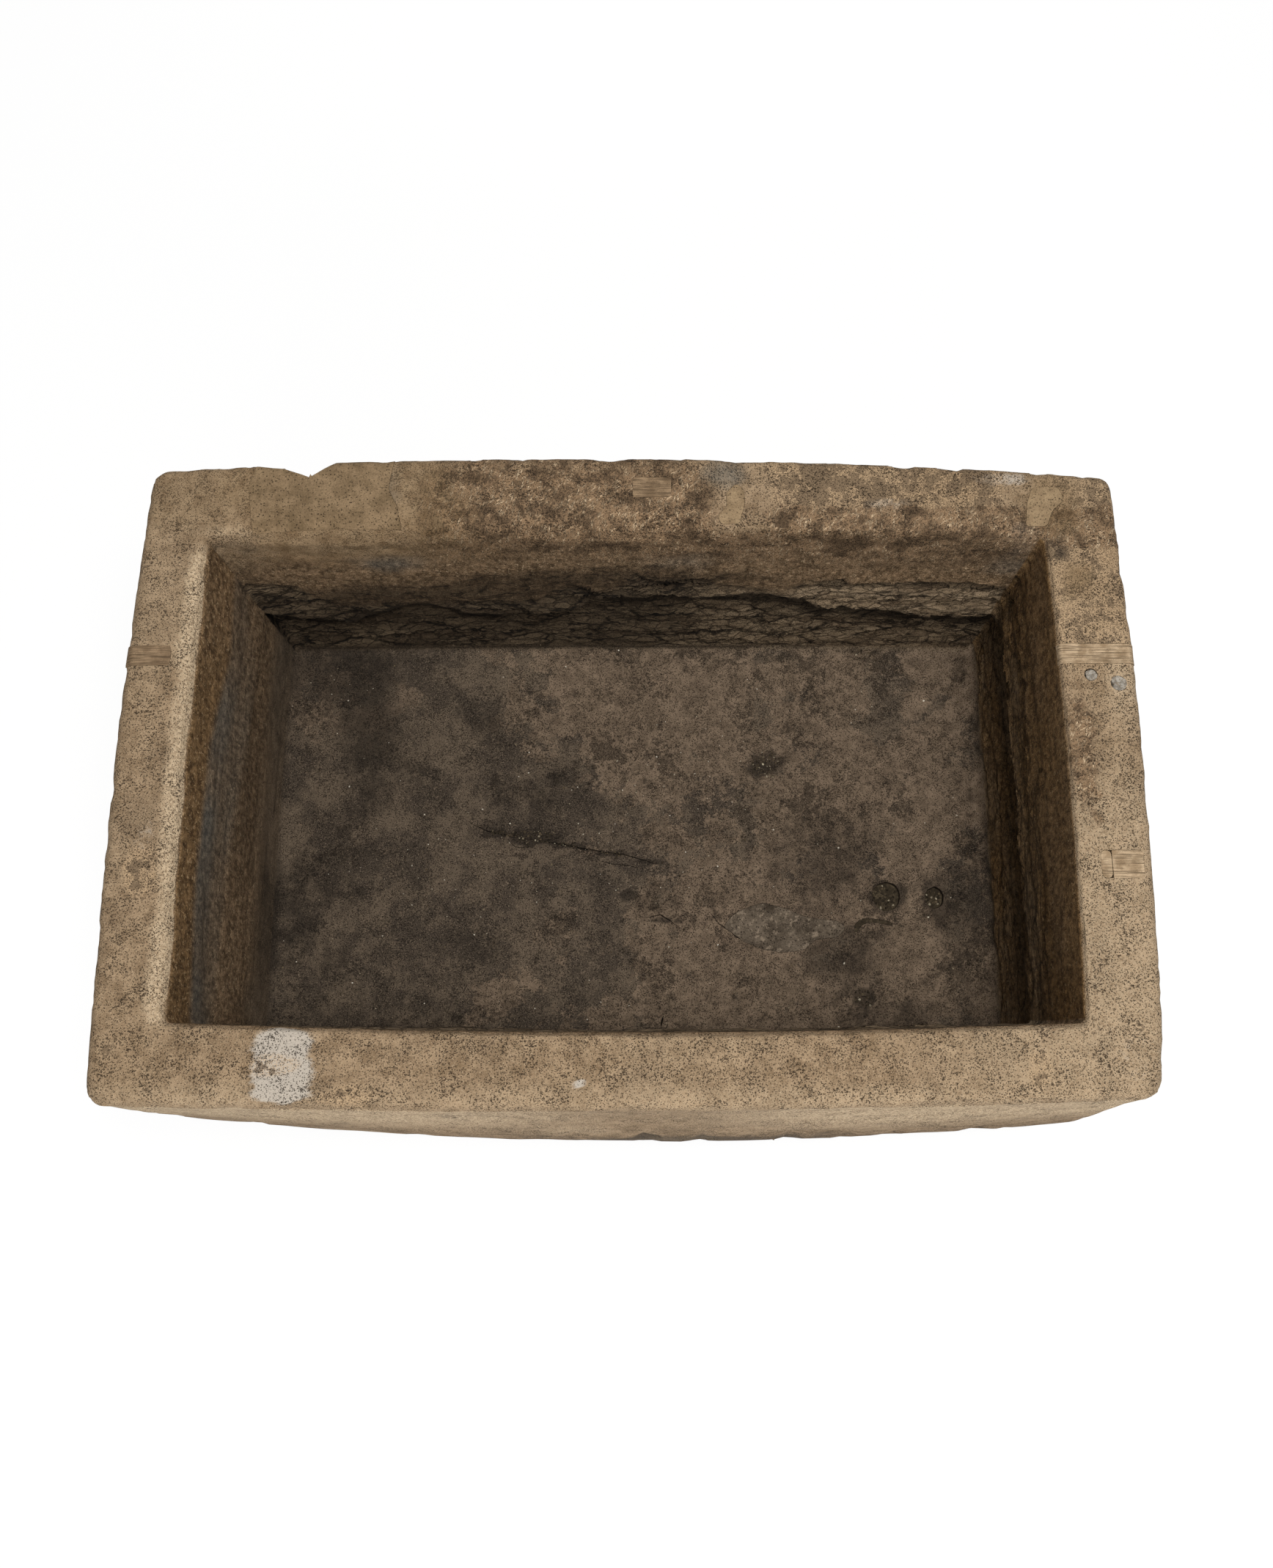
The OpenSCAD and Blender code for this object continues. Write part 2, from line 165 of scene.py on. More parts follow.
def station_sides():
    """For each station, its side or the side before its corner, and its outward direction."""
    side, out = [], []
    for k in range(4):
        side += [k] * (STEPS[k] + CORNER_STEPS)
        out += [OUT[k]] * (STEPS[k] + 1)
        for i in range(1, CORNER_STEPS):
            a = math.radians(-90 + 90 * k + 90 * i / CORNER_STEPS)
            out.append((math.cos(a), math.sin(a)))
    return np.array(side), np.array(out)


SIDE_OF, OUT_OF = station_sides()
ON_BACK = SIDE_OF == 2


def round_corners(values):
    """One value a station: the given value of each side, blended round the corners."""
    result = []
    for k in range(4):
        here, after = values[k], values[(k + 1) % 4]
        result += [here] * (STEPS[k] + 1)
        result += [here + (after - here) * i / CORNER_STEPS for i in range(1, CORNER_STEPS)]
    return np.array(result, float)


def outline(reach, bows, radii):
    """Rows of stations round a plan with bowed sides and round corners.
    reach and bows hold a row, a station and a side; radii hold one number for each corner."""
    x, y = np.empty(reach.shape[:2]), np.empty(reach.shape[:2])
    fl, fr, br, bl = radii
    start = 0
    for k in range(4):
        n = STEPS[k] + 1
        stop = start + n + CORNER_STEPS - 1
        f, r, b, l = np.moveaxis(reach[:, start:stop] * (-1, 1, 1, -1), -1, 0)
        first, last, cx, cy, radius = (
            ((l + fl, f), (r - fr, f), r - fr, f + fr, fr),
            ((r, f + fr), (r, b - br), r - br, b - br, br),
            ((r - br, b), (l + bl, b), l + bl, b - bl, bl),
            ((l, b - bl), (l, f + fl), l + fl, f + fl, fl),
        )[k]
        t = np.linspace(0, 1, n)
        bow = bows[:, start : start + n, k] * 4 * t * (1 - t)
        for values, axis in ((x, 0), (y, 1)):
            a, z = first[axis][:, :n], last[axis][:, :n]
            values[:, start : start + n] = a + (z - a) * t + OUT[k][axis] * bow
        angle = np.radians(-90 + 90 * k + 90 * np.arange(1, CORNER_STEPS) / CORNER_STEPS)
        x[:, start + n : stop] = cx[:, n:] + radius * np.cos(angle)
        y[:, start + n : stop] = cy[:, n:] + radius * np.sin(angle)
        start = stop
    return np.stack([x, y], -1)


def outer_rows(z, inset):
    """Rows of the outer faces at heights z, drawn inwards by inset."""
    z, inset = np.asarray(z, float)[:, None], np.asarray(inset, float)
    low = z < BELLY_HEIGHT
    belly = np.where(
        low,
        1 - 0.3 * (1 - z / BELLY_HEIGHT) ** 2,
        0.5 + 0.5 * np.cos(np.pi * (z - BELLY_HEIGHT) / (HEIGHT - BELLY_HEIGHT)),
    )
    drawn = np.where(low, FOOT_DRAW * (1 - z / BELLY_HEIGHT) ** 2, 0) + inset
    ones = np.ones((z.shape[0], STATIONS, 4))
    reach = ones * BLOCK_REACH - drawn[..., None] * ones + (belly[..., None] * ones) * BELLY_SWELLS
    bows = ones * RIM_BOWS + (belly[..., None] * ones) * BELLY_BOWS
    x, y = np.moveaxis(outline(reach, bows, CORNER_RADII), -1, 0)
    # A little out of square: the back lies to the right, and the long sides draw together.
    drawn_together = TAPER / BLOCK_REACH[2] * (1 - 2 * belly) * x / BLOCK_REACH[1]
    return np.stack([x + LEAN * y / BLOCK_REACH[2], y * (1 - drawn_together)], -1)


def mouth_rows(depth, inset):
    """Rows of the basin walls at depths below the rim, standing inwards by inset."""
    fall = (depth / BASIN_DEPTH)[..., None]
    ones = np.ones(depth.shape + (4,))
    reach = ones * MOUTH_REACH - fall * WALL_SLOPES - inset[..., None] * ones
    bows = (1 - 0.6 * fall) * MOUTH_BOWS * ones
    return outline(reach, bows, (MOUTH_RADIUS,) * 4)


# The cleft ledge round the basin: along each side, its place and its depth below the rim.
BACK_LEDGE = pairs(
    -485, 206, -465, 216, -440, 228, -400, 238, -372, 232, -355, 220, -335, 214, -318, 204,
    -295, 188, -268, 186, -240, 198, -228, 216, -190, 222, -150, 222, -112, 212, -85, 206, -65, 194,
    -50, 168, -10, 174, 18, 174, 40, 161, 60, 172, 95, 164, 150, 158, 210, 166, 230, 186, 250, 203,
    272, 190, 305, 206, 335, 206, 360, 216, 410, 216, 430, 226, 460, 224, 480, 214)
RIGHT_LEDGE = pairs(
    -275, 178, -200, 190, -150, 186, -87, 191, -30, 184, 20, 188, 49, 180, 80, 190, 145, 188,
    200, 186, 241, 190, 268, 208)
FRONT_LEDGE = pairs(
    -480, 214, -400, 200, -310, 186, -220, 206, -120, 196, -20, 182, 60, 196, 170, 206, 270, 186,
    380, 176, 480, 180)
LEFT_LEDGE = pairs(-280, 216, -200, 226, -100, 214, 0, 208, 90, 196, 180, 204, 270, 206)
# Where the split, flaky stone begins under the tooled band at the top of the back wall.
BACK_SPLIT = pairs(
    -485, 124, -450, 128, -415, 132, -400, 166, -388, 178, -372, 190, -340, 192, -300, 184,
    -220, 182, -115, 182, -75, 142, -48, 152, -20, 148, 8, 112, 28, 126, 55, 128, 90, 120, 110, 136,
    190, 150, 225, 128, 260, 120, 272, 130, 350, 126, 425, 123, 480, 134)
# Lesser ledges of the back wall: their points, how far the stone above each stands out, how far
# the stone below lies back, and how far up and down that reaches, all in millimetres.
LESSER_LEDGES = [
    (pairs(-485, 124, -450, 128, -415, 132), 2.5, 2.5, 30, 12),
    (pairs(-402, 166, -390, 176, -375, 188, -370, 206), 3.0, 4.0, 25, 12),
    (pairs(-228, 182, -170, 184, -112, 180), 3.0, 3.5, 26, 10),
    (pairs(-72, 140, -55, 144, -45, 158, -25, 152, -5, 148, 22, 156), 4.0, 4.0, 22, 10),
    (pairs(8, 110, 25, 126, 55, 128, 90, 119, 102, 130), 3.0, 4.5, 20, 12),
    (pairs(222, 128, 260, 119, 270, 130, 350, 126, 425, 122, 474, 136), 3.5, 4.5, 26, 14),
    (pairs(-478, 240, -455, 242, -450, 268, -420, 266, -390, 264, -345, 250), 2.0, 3.0, 20, 10),
    (pairs(-337, 230, -322, 246, -303, 259), 2.0, 3.0, 12, 8),
    (pairs(-168, 271, -140, 279, -118, 283), 1.5, 2.5, 12, 8),
    (pairs(-42, 237, -10, 256, 22, 264), 2.0, 3.0, 14, 8),
    (pairs(72, 195, 100, 190, 112, 204), 2.0, 3.0, 10, 8),
    (pairs(150, 226, 230, 240, 310, 236, 380, 252), 1.6, 2.4, 16, 8),
]
# Hollows worn in the floor: place, half widths, and depth in millimetres.
FLOOR_HOLLOWS = [
    ((0.174, 0.104), (0.024, 0.020), 4.0), ((-0.128, 0.000), (0.030, 0.012), 3.2),
    ((0.303, -0.211), (0.016, 0.013), 3.5), ((0.381, -0.225), (0.012, 0.012), 2.0),
    ((-0.004, -0.079), (0.012, 0.008), 1.6), ((0.322, 0.262), (0.010, 0.008), 5.0),
]


def ledge_depths_at(side, x, y):
    """Depth of the main ledge below the rim, at places along the basin's sides."""
    lines = [line(FRONT_LEDGE, x), line(RIGHT_LEDGE, y), line(BACK_LEDGE, x), line(LEFT_LEDGE, y)]
    return np.choose(np.minimum(side, 3), lines)


def ledge_depths(mouth_xy):
    """Depth of the main ledge at each station, run smoothly round the corners."""
    depth = ledge_depths_at(SIDE_OF, *mouth_xy.T)
    t = np.arange(1, CORNER_STEPS) / CORNER_STEPS
    start = 0
    for k in range(4):
        a = start + STEPS[k]
        start = a + CORNER_STEPS
        depth[a + 1 : start] = depth[a] * (1 - t) + depth[start % STATIONS] * t
    return depth


def ledge_step(delta, above, below, up, down):
    """Relief across a ledge, in metres, at places that lie delta past it: the stone above stands
    out and the stone below lies back, by millimetres, and both fade away."""
    return np.where(delta < 0, above * np.exp(delta / up), -below * np.exp(-delta / down)) * MM


def lesser_ledges(p, depth):
    """For each lesser ledge: 1 along it and 0 past its ends, how deep each point lies past it, and
    its numbers."""
    x = p[..., 0]
    for points, *numbers in LESSER_LEDGES:
        ends = smooth(x, points[0][0] - 0.004, points[0][0] + 0.012)
        ends = ends * (1 - smooth(x, points[-1][0] - 0.012, points[-1][0] + 0.004))
        wander = 2 * MM * drift(p, (0.012, 1, 1), 16)
        yield ends, depth - line(points, x) - wander, *numbers


def wall_relief(p, depth, ledge, softness):
    """Relief of the basin walls in metres, outwards from the stone, without the main ledge's own
    step. softness runs from 0, as the stone is, to 1, as smooth as a mortar skin."""
    x, y = p[..., 0], p[..., 1]
    side = np.broadcast_to(SIDE_OF, depth.shape)
    split_top = np.choose(side, (
        0.13 + 0.02 * drift(p, 0.2, 5), 0.105 + 0.02 * drift(p, 0.15, 4), line(BACK_SPLIT, x), 1))
    split = smooth(depth, split_top - 0.004, split_top + 0.010)
    recess = smooth(depth, ledge + 0.001, ledge + 0.006)
    # Tooled band: short level strokes of the chisel.
    tooled = 1.1 * rough(p, (0.046, 0.046, 0.011), 1) + 0.5 * rough(p, 0.007, 2, 2)
    tooled += 0.9 * np.maximum(0, drift(p, (0.034, 0.034, 0.006), 7)) ** 2
    # Split stone: flakes that each stand out to a lower edge and break off there.
    warp = 26 * MM * rough(p, (0.085, 0.085, 0.060), 8, 3) + 7 * MM * rough(p, 0.02, 9, 2)
    flake = np.where(recess > 0.5, 0.027, 0.034)
    phase = np.mod((depth + warp) / flake, 1)
    strength = 0.35 + 0.65 * smooth(drift(p, (0.07, 0.07, 0.04), 10), -0.5, 0.4)
    flaky = (np.where(recess > 0.5, 5.5, 8.0) * (phase - 0.55)) * strength
    flaky += 1.5 * rough(p, (0.03, 0.03, 0.008), 11) + 0.8 * rough(p, 0.008, 12, 2)
    # The left wall is worn smoother, with a hollow band that falls towards the front.
    band = line(pairs(-280, 128, -100, 128, 50, 142, 170, 165, 270, 150), y)
    swell = 1.4 * rough(p, (0.11, 0.11, 0.035), 13, 3) + 0.7 * rough(p, (0.02, 0.02, 0.008), 14, 3)
    swell -= 3.0 * hump(depth, band, 0.030)
    cleft = 1.2 * np.maximum(0, drift(p, (0.10, 0.10, 0.012), 15)) ** 2 * smooth(depth, 0.05, 0.1)
    relief = np.where(side == 3, swell - cleft, tooled * (1 - split) + flaky * split)
    relief = relief * MM * (1 - 0.75 * softness)
    back = (side == 2) & (np.abs(x) < BACK_HALF)
    for ends, delta, above, below, up, down in lesser_ledges(p, depth):
        step = ledge_step(delta, above, below, up * MM, down * MM)
        relief = relief + np.where(back, ends * step, 0)
    # Worn upper edge, and quiet where the wall meets the lip and the cove.
    calm = smooth(depth, 0.006, 0.030) * (1 - 0.7 * smooth(depth, 0.312, 0.330))
    return relief * (0.25 + 0.75 * calm)


OVERHANG = round_corners((0.75, 0.8, 1.0, 0.12))
LIP = 9 * MM * round_corners((0.6, 0.55, 1.0, 2.0))


def edge_widths(rim_xy, mouth_xy):
    """At each station, how wide the worn outer arris is, and the basin's rolled lip."""
    # The arris is widest along the front.
    arris = round_corners((0.015, 0.013, 0.011, 0.014))
    arris = arris * (1 + 0.22 * drift(raised(rim_xy), 0.09, 20))
    # The lip is round where it is worn, and sharper along the right of the back wall.
    x, y = mouth_xy.T
    lip = LIP * np.where(ON_BACK, 2.3 - 1.85 * smooth(x, 0.02, 0.17), 1)
    lip = lip + 6 * MM * ON_BACK * hump(x, -0.34, 0.075)
    lip = lip * (1 + 0.25 * drift(raised(mouth_xy), 0.05, 21))
    to_corner = np.hypot(np.abs(x) - BACK_HALF, np.abs(y) - 0.274)
    return arris, lip + (5.5 * MM - lip) * hump(to_corner, 0, 0.034)


def skin_relief(p, normal, zone, depth, ledge, softness):
    """Relief of the whole skin in metres, outwards from the stone. softness as in wall_relief."""
    quiet = 1 - 0.7 * softness
    # Outer faces: broad hewing, level streaks and small bruises, all below the block's own box.
    hewn = 0.6 + 1.0 * rough(p, (0.14, 0.14, 0.07), 30, 3)
    streaks = 0.5 + 0.9 * rough(p, (0.060, 0.060, 0.014), 31, 3)
    bruise = np.maximum(0, drift(p, 0.022, 32) - 0.45)
    outer = -(1.6 * hewn + 0.9 * streaks + 3.2 * bruise) * MM
    low_front = (p[..., 1] < -0.3) * (p[..., 2] < 0.22)
    outer -= 9.0 * MM * np.maximum(0, rough(p, (0.034, 0.034, 0.16), 37, 3) - 0.10) * low_front
    # The rim is flatter, and its edges are chipped, most of all at the back.
    rim = -(0.55 + 0.5 * rough(p, 0.085, 33, 3) + 0.28 * rough(p, 0.010, 34, 3)) * MM
    edge = np.clip(1 - np.abs(normal[..., 2]), 0, 1)
    chips = np.maximum(0, rough(p, (0.026, 0.026, 0.020), 35, 3) - 0.1)
    back_edge = 1 + 1.6 * (p[..., 1] > 0.33)
    chipped = 1.0 + 4.2 * chips * back_edge + 0.9 * rough(p, 0.012, 36, 3)
    rim = np.minimum(rim, -0.05 * MM) - chipped * MM * np.minimum(1, 3 * edge)
    walls = wall_relief(p, depth, ledge, softness)
    return np.choose(zone, (np.minimum(outer * quiet, 0), np.minimum(rim * quiet, 0), walls))


def crease_shades(zone, depth, ledge, relief):
    """How far each point lies in a crease, where shade is painted: under the main ledge, or lower
    than what is round it.
    """
    level = relief
    for _ in range(2):
        level = (np.roll(level, 1, 1) + level + np.roll(level, -1, 1)) / 3
        padded = np.concatenate([level[:1], level, level[-1:]])
        level = (padded[:-2] + padded[1:-1] + padded[2:]) / 3
    under_ledge = hump(depth - ledge, 2.5 * MM, 4 * MM) * OVERHANG
    return (zone == 2) * np.maximum(under_ledge, np.clip((level - relief) / (1.6 * MM), 0, 1))


def skin_rows(softness=0.0):
    """The block's whole skin as rows of stations, from the underside up, over the rim and down to
    the floor: places, and for each its zone (0 outer faces, 1 rim, 2 walls), how deep it lies, its
    relief and its crease, the mask of painted shade in creases. softness as in wall_relief."""
    rows, normals, zones, depths = [], [], [], []

    def add(places, z, side, rise, zone, depth=None):
        z = np.broadcast_to(z, places.shape[:2])
        rows.append(np.concatenate([places, z[..., None]], -1))
        flat = np.broadcast_to(OUT_OF * side * math.cos(rise), places.shape)
        normals.append(np.concatenate([flat, np.full(z.shape + (1,), math.sin(rise))], -1))
        zones.append(np.full(z.shape, zone))
        depths.append(np.broadcast_to(HEIGHT - z if depth is None else depth, z.shape))

    level = np.zeros((1, STATIONS))
    mouth_xy = mouth_rows(level, level)[0]
    arris, lip = edge_widths(outer_rows([HEIGHT], 0)[0], mouth_xy)
    z = np.concatenate([[0, 0.004], np.linspace(0.016, HEIGHT - 0.018, 21)])
    inset = np.concatenate([[0.006, 0.001], np.zeros(21)])
    add(outer_rows(z, inset[:, None]), z[:, None], 1, 0, 0)
    for a in np.radians((0, 20, 40, 58, 75, 90)):
        fallen = arris * (1 - math.sin(a))
        add(outer_rows([HEIGHT], arris * (1 - math.cos(a))), (HEIGHT - fallen)[None], 1, a, 1)
    outer_edge = rows[-1][0, :, :2]
    inner_edge = mouth_rows(level, -lip[None])[0]
    for t in np.linspace(0, 1, 15)[1:-1]:
        add((outer_edge * (1 - t) + inner_edge * t)[None], HEIGHT, 1, math.pi / 2, 1)
    for a in np.radians((90, 68, 45, 22, 0)):
        drop = lip[None] * (1 - math.sin(a))
        add(mouth_rows(drop, -lip[None] * (1 - math.cos(a))), HEIGHT - drop, -1, a, 1)
    # Walls: rows crowd towards the main ledge, step back under it, and fall to the cove.
    ledge = ledge_depths(mouth_xy)
    top, foot = lip + 3 * MM, BASIN_DEPTH - COVE
    upper = top + (ledge - top) * np.linspace(0, 1, 50)[:, None] ** 0.96
    under = ledge + np.array([-1.0, 0.2, 2.5])[:, None] * MM
    low_start = ledge + 5.5 * MM
    lower = low_start + (foot - low_start) * np.linspace(0, 1, 46)[:, None] ** 1.05
    depth = np.concatenate([upper, under, lower])
    # How far each row stands out or lies back for the ledge itself.
    stand, lie = 5.5 * MM * OVERHANG, 14.5 * MM * OVERHANG
    above = stand * np.exp((upper - ledge) / 0.050) * smooth(upper, 0.01, 0.09)
    across = np.stack([stand * 0.40, lie * -0.60, lie * -0.92])
    fade = (lower - low_start) / (foot - low_start)
    beyond = -lie * (1 - fade**2.2) + 1 * MM * fade
    add(mouth_rows(depth, np.concatenate([above, across, beyond])), HEIGHT - depth, -1, 0, 2, depth)
    for a in np.radians((18, 36, 54, 72, 90)):
        fallen = level + (BASIN_DEPTH - COVE * (1 - math.sin(a)))
        inwards = level + (COVE * (1 - math.cos(a)) + 1 * MM)
        add(mouth_rows(fallen, inwards), HEIGHT - fallen, -1, a, 2, fallen)
    places, normal, zone, depth = map(np.concatenate, (rows, normals, zones, depths))
    relief = skin_relief(places, normal, zone, depth, ledge, softness)
    relief[:2] = 0
    crease = crease_shades(zone, depth, ledge, relief)
    return places + normal * relief[..., None], zone, depth, relief, crease


def floor_grid(softness=0.0):
    """The worn floor as a grid of points, a little inside the cove, and their relief."""
    half = [r - s - COVE - 6 * MM for r, s in zip(MOUTH_REACH, WALL_SLOPES)]
    x, y = np.meshgrid(np.linspace(-half[3], half[1], 164), np.linspace(-half[0], half[2], 92))
    edge = np.minimum.reduce([x + half[3], half[1] - x, y + half[0], half[2] - y])
    p = np.stack([x, y, np.full(x.shape, FLOOR)], -1)
    relief = 1.3 * rough(p, 0.11, 40, 3) + 0.75 * rough(p, 0.018, 41, 3)
    relief -= 2.4 * np.maximum(0, drift(p, 0.016, 42) - 0.5)
    relief = relief * (1 - 0.7 * softness)
    for at, size, deep in FLOOR_HOLLOWS:
        relief -= deep * blot(p, at, size, 0.5, 0.3, 43)
    p[..., 2] -= FLOOR_DISH * smooth(edge, 0, 0.19)
    p[..., 2] += relief * MM * smooth(edge, -0.004, 0.02)
    return p, relief * MM


def zip_loops(outer, inner, places):
    """Triangles between two closed loops of points, both running the same way round the floor."""
    def turned(loop):
        angle = np.arctan2(places[loop, 1] / 0.25, places[loop, 0] / 0.45)
        first = int(np.argmin(angle))
        order = np.roll(np.arange(len(loop)), -first)
        return [loop[i] for i in order], list(angle[order])

    a, at_a = turned(outer)
    b, at_b = turned(inner)
    a, at_a = a + a[:1], at_a + [at_a[0] + 2 * math.pi]
    b, at_b = b + b[:1], at_b + [at_b[0] + 2 * math.pi]
    i = j = 0
    faces = []
    while i < len(a) - 1 or j < len(b) - 1:
        if j == len(b) - 1 or (i < len(a) - 1 and at_a[i + 1] < at_b[j + 1]):
            faces.append((a[i], a[i + 1], b[j]))
            i += 1
        else:
            faces.append((b[j + 1], b[j], a[i]))
            j += 1
    return faces


def new_mesh(name, points, faces):
    """A mesh of the given points and faces."""
    mesh = bpy.data.meshes.new(name)
    mesh.from_pydata(points, [], faces)
    mesh.update()
    return mesh


def skin_mesh(name, softness=0.0):
    """The uncut block as a closed mesh, and the facts that its stains and painted shade are painted
    from.
    """
    places, zone, depth, relief, crease = skin_rows(softness)
    grid, floor_relief = floor_grid(softness)
    rows, n_floor = places.shape[0], floor_relief.size
    points = np.concatenate([places.reshape(-1, 3), grid.reshape(-1, 3)])
    index = np.arange(rows * STATIONS).reshape(rows, STATIONS)
    after = np.roll(index, -1, 1)
    faces = np.stack([index[:-1], after[:-1], after[1:], index[1:]], -1).reshape(-1, 4).tolist()
    g = rows * STATIONS + np.arange(n_floor).reshape(floor_relief.shape)
    faces += np.stack([g[:-1, :-1], g[:-1, 1:], g[1:, 1:], g[1:, :-1]], -1).reshape(-1, 4).tolist()
    border = list(g[0]) + list(g[1:, -1]) + list(g[-1, -2::-1]) + list(g[-2:0:-1, 0])
    faces += zip_loops(list(index[-1]), border, points)
    faces.append(list(index[0][::-1]))
    mesh = new_mesh(name, points.tolist(), [[int(v) for v in face] for face in faces])
    facts = {
        key: np.concatenate([values.ravel(), np.broadcast_to(on_floor, n_floor)])
        for key, values, on_floor in (
            ("zone", zone, 3), ("depth", depth, BASIN_DEPTH), ("side", np.tile(SIDE_OF, rows), 4),
            ("relief", relief, floor_relief.ravel()), ("crease", crease, 0.0))
    }
    return mesh, points, facts


# ---- Cutters and repairs --------------------------------------------------------------

def put(mesh, name=None):
    """A new object of the scene that holds a mesh."""
    thing = bpy.data.objects.new(name or mesh.name, mesh)
    bpy.context.scene.collection.objects.link(thing)
    return thing


def closed_rings(name, rings):
    """A closed mesh through rings of as many points each, every ring anticlockwise seen from above
    and the rings going upwards."""
    count = len(rings[0])
    points = [tuple(p) for ring in rings for p in ring]
    faces = [tuple(range(count))[::-1], tuple(range(len(points) - count, len(points)))]
    for k in range(0, len(points) - count, count):
        for i in range(count):
            j = (i + 1) % count
            faces.append((k + i, k + j, k + count + j, k + count + i))
    return new_mesh(name, points, faces)


def ragged_plan(corners, at, ragged, inset=0.0):
    """A plan with its edges broken into short lengths and roughened, and drawn in by inset."""
    corners = np.array(corners, float) * MM + np.array(at)
    points = []
    for a, b in zip(corners, np.roll(corners, -1, 0)):
        count = max(1, int(np.linalg.norm(b - a) / PLAN_STEP))
        points += [a + (b - a) * i / count for i in range(count)]
    points = np.array(points)
    x, y = points.T
    if np.sum(x * np.roll(y, -1) - np.roll(x, -1) * y) < 0:
        points = points[::-1]
    for _ in range(2):
        points = 0.25 * np.roll(points, 1, 0) + 0.5 * points + 0.25 * np.roll(points, -1, 0)
    along = np.roll(points, -1, 0) - np.roll(points, 1, 0)
    outward = np.stack([along[:, 1], -along[:, 0]], -1) / np.linalg.norm(along, axis=1)[:, None]
    return points + outward * (ragged * rough(raised(points), 0.009, 50, 2) - inset)[:, None]


def prism(name, plan, bottom, top):
    """A straight-sided closed mesh over a plan."""
    return closed_rings(name, [[(x, y, z) for x, y in plan] for z in (bottom, top)])


def circle(count):
    """The angles of count points round a circle."""
    return np.linspace(0, 2 * math.pi, count, endpoint=False)


def disc_plan(at, radius, count, ragged=0.0, squash=(1.0, 1.0), seed=0):
    """A round plan, roughened and squashed."""
    angle = circle(count)
    ring = np.stack([np.cos(angle), np.sin(angle)], -1)
    r = radius * (1 + ragged * rough(raised(ring, 0.37 * seed), 0.7, 51, 2))
    return np.array(at) + r[:, None] * ring * squash


def crack(name, points, width, deep, level, seed):
    """A thin wedge along a line of points, closed at both ends, to cut a crack with."""
    path = []
    for a, b in zip(points[:-1], points[1:]):
        a, b = np.array(a, float), np.array(b, float)
        count = max(2, int(np.linalg.norm(b - a) / (4 * MM)))
        path += [a + (b - a) * i / count for i in range(count)]
    path = np.array(path + [np.array(points[-1], float)])
    p = raised(path, 0.01 * seed)
    along = np.gradient(path, axis=0)
    across = np.stack([-along[:, 1], along[:, 0]], -1) / np.linalg.norm(along, axis=1)[:, None]
    path = path + across * (1.6 * MM * rough(p, 0.014, 60, 3))[:, None]
    taper = np.sqrt(np.sin(np.linspace(0.03, math.pi - 0.03, len(path))))
    half = width / 2 * taper * (0.65 + 0.45 * rough(p, 0.01, 61, 2))
    half = np.maximum(half, 0.1 * MM)
    wedge = []
    for q, n, h, t in zip(path, across, half, taper):
        left, right = q + n * h, q - n * h
        wedge += [(*left, level + 6 * MM), (*q, level - deep * t), (*right, level + 6 * MM)]
    last = len(wedge) - 1
    faces = [(0, 1, 2), (last, last - 1, last - 2)]
    for i in range(0, last - 2, 3):
        faces += [(i + k, i + 3 + k, i + 3 + m, i + m) for k, m in ((0, 1), (1, 2), (2, 0))]
    return outward_faces(new_mesh(name, wedge, faces))


def outward_faces(mesh):
    """Turns a closed mesh's faces outwards."""
    work = bmesh.new()
    work.from_mesh(mesh)
    bmesh.ops.recalc_face_normals(work, faces=work.faces)
    if work.calc_volume(signed=True) < 0:
        bmesh.ops.reverse_faces(work, faces=work.faces)
    work.to_mesh(mesh)
    work.free()
    return mesh


def evaluated(thing):
    """The mesh that an object's modifiers make, as a plain mesh."""
    bpy.context.view_layer.update()
    depsgraph = bpy.context.evaluated_depsgraph_get()
    return bpy.data.meshes.new_from_object(thing.evaluated_get(depsgraph))


def carved(base, cutters, operation="DIFFERENCE"):
    """A mesh after each cutter is taken from it or kept in common with it."""
    thing = put(base.copy(), "carving")
    tools = [put(cutter, "cutter") for cutter in cutters]
    for tool in tools:
        modifier = thing.modifiers.new("cut", "BOOLEAN")
        modifier.operation = operation
        modifier.solver = "MANIFOLD"
        modifier.object = tool
    result = evaluated(thing)
    for tool in tools + [thing]:
        bpy.data.objects.remove(tool)
    return result


def rough_break(name, size, about_x, about_z, at, ragged, seed):
    """A slab with rough faces, turned by degrees and moved into place, to break stone off with."""
    counts = [max(2, int(s / (5 * MM))) for s in size]
    places, faces = {}, []
    for axis in range(3):
        u, v = (axis + 1) % 3, (axis + 2) % 3
        for end in (0, counts[axis]):
            for a, b in np.ndindex(counts[u], counts[v]):
                quad = []
                for da, db in ((0, 0), (1, 0), (1, 1), (0, 1)):
                    key = [0, 0, 0]
                    key[axis], key[u], key[v] = end, a + da, b + db
                    quad.append(places.setdefault(tuple(key), len(places)))
                faces.append(quad if end else quad[::-1])
    points = (np.array(list(places)) / counts - 0.5) * size
    points = points + ragged * np.stack([rough(points, 0.022, seed + n, 3) for n in range(3)], -1)
    turn = Matrix.Rotation(math.radians(about_z), 3, "Z")
    turn = turn @ Matrix.Rotation(math.radians(about_x), 3, "X")
    matrix = Matrix.Translation(at) @ turn.to_4x4()
    return new_mesh(name, [tuple(matrix @ Vector(p)) for p in points], faces)


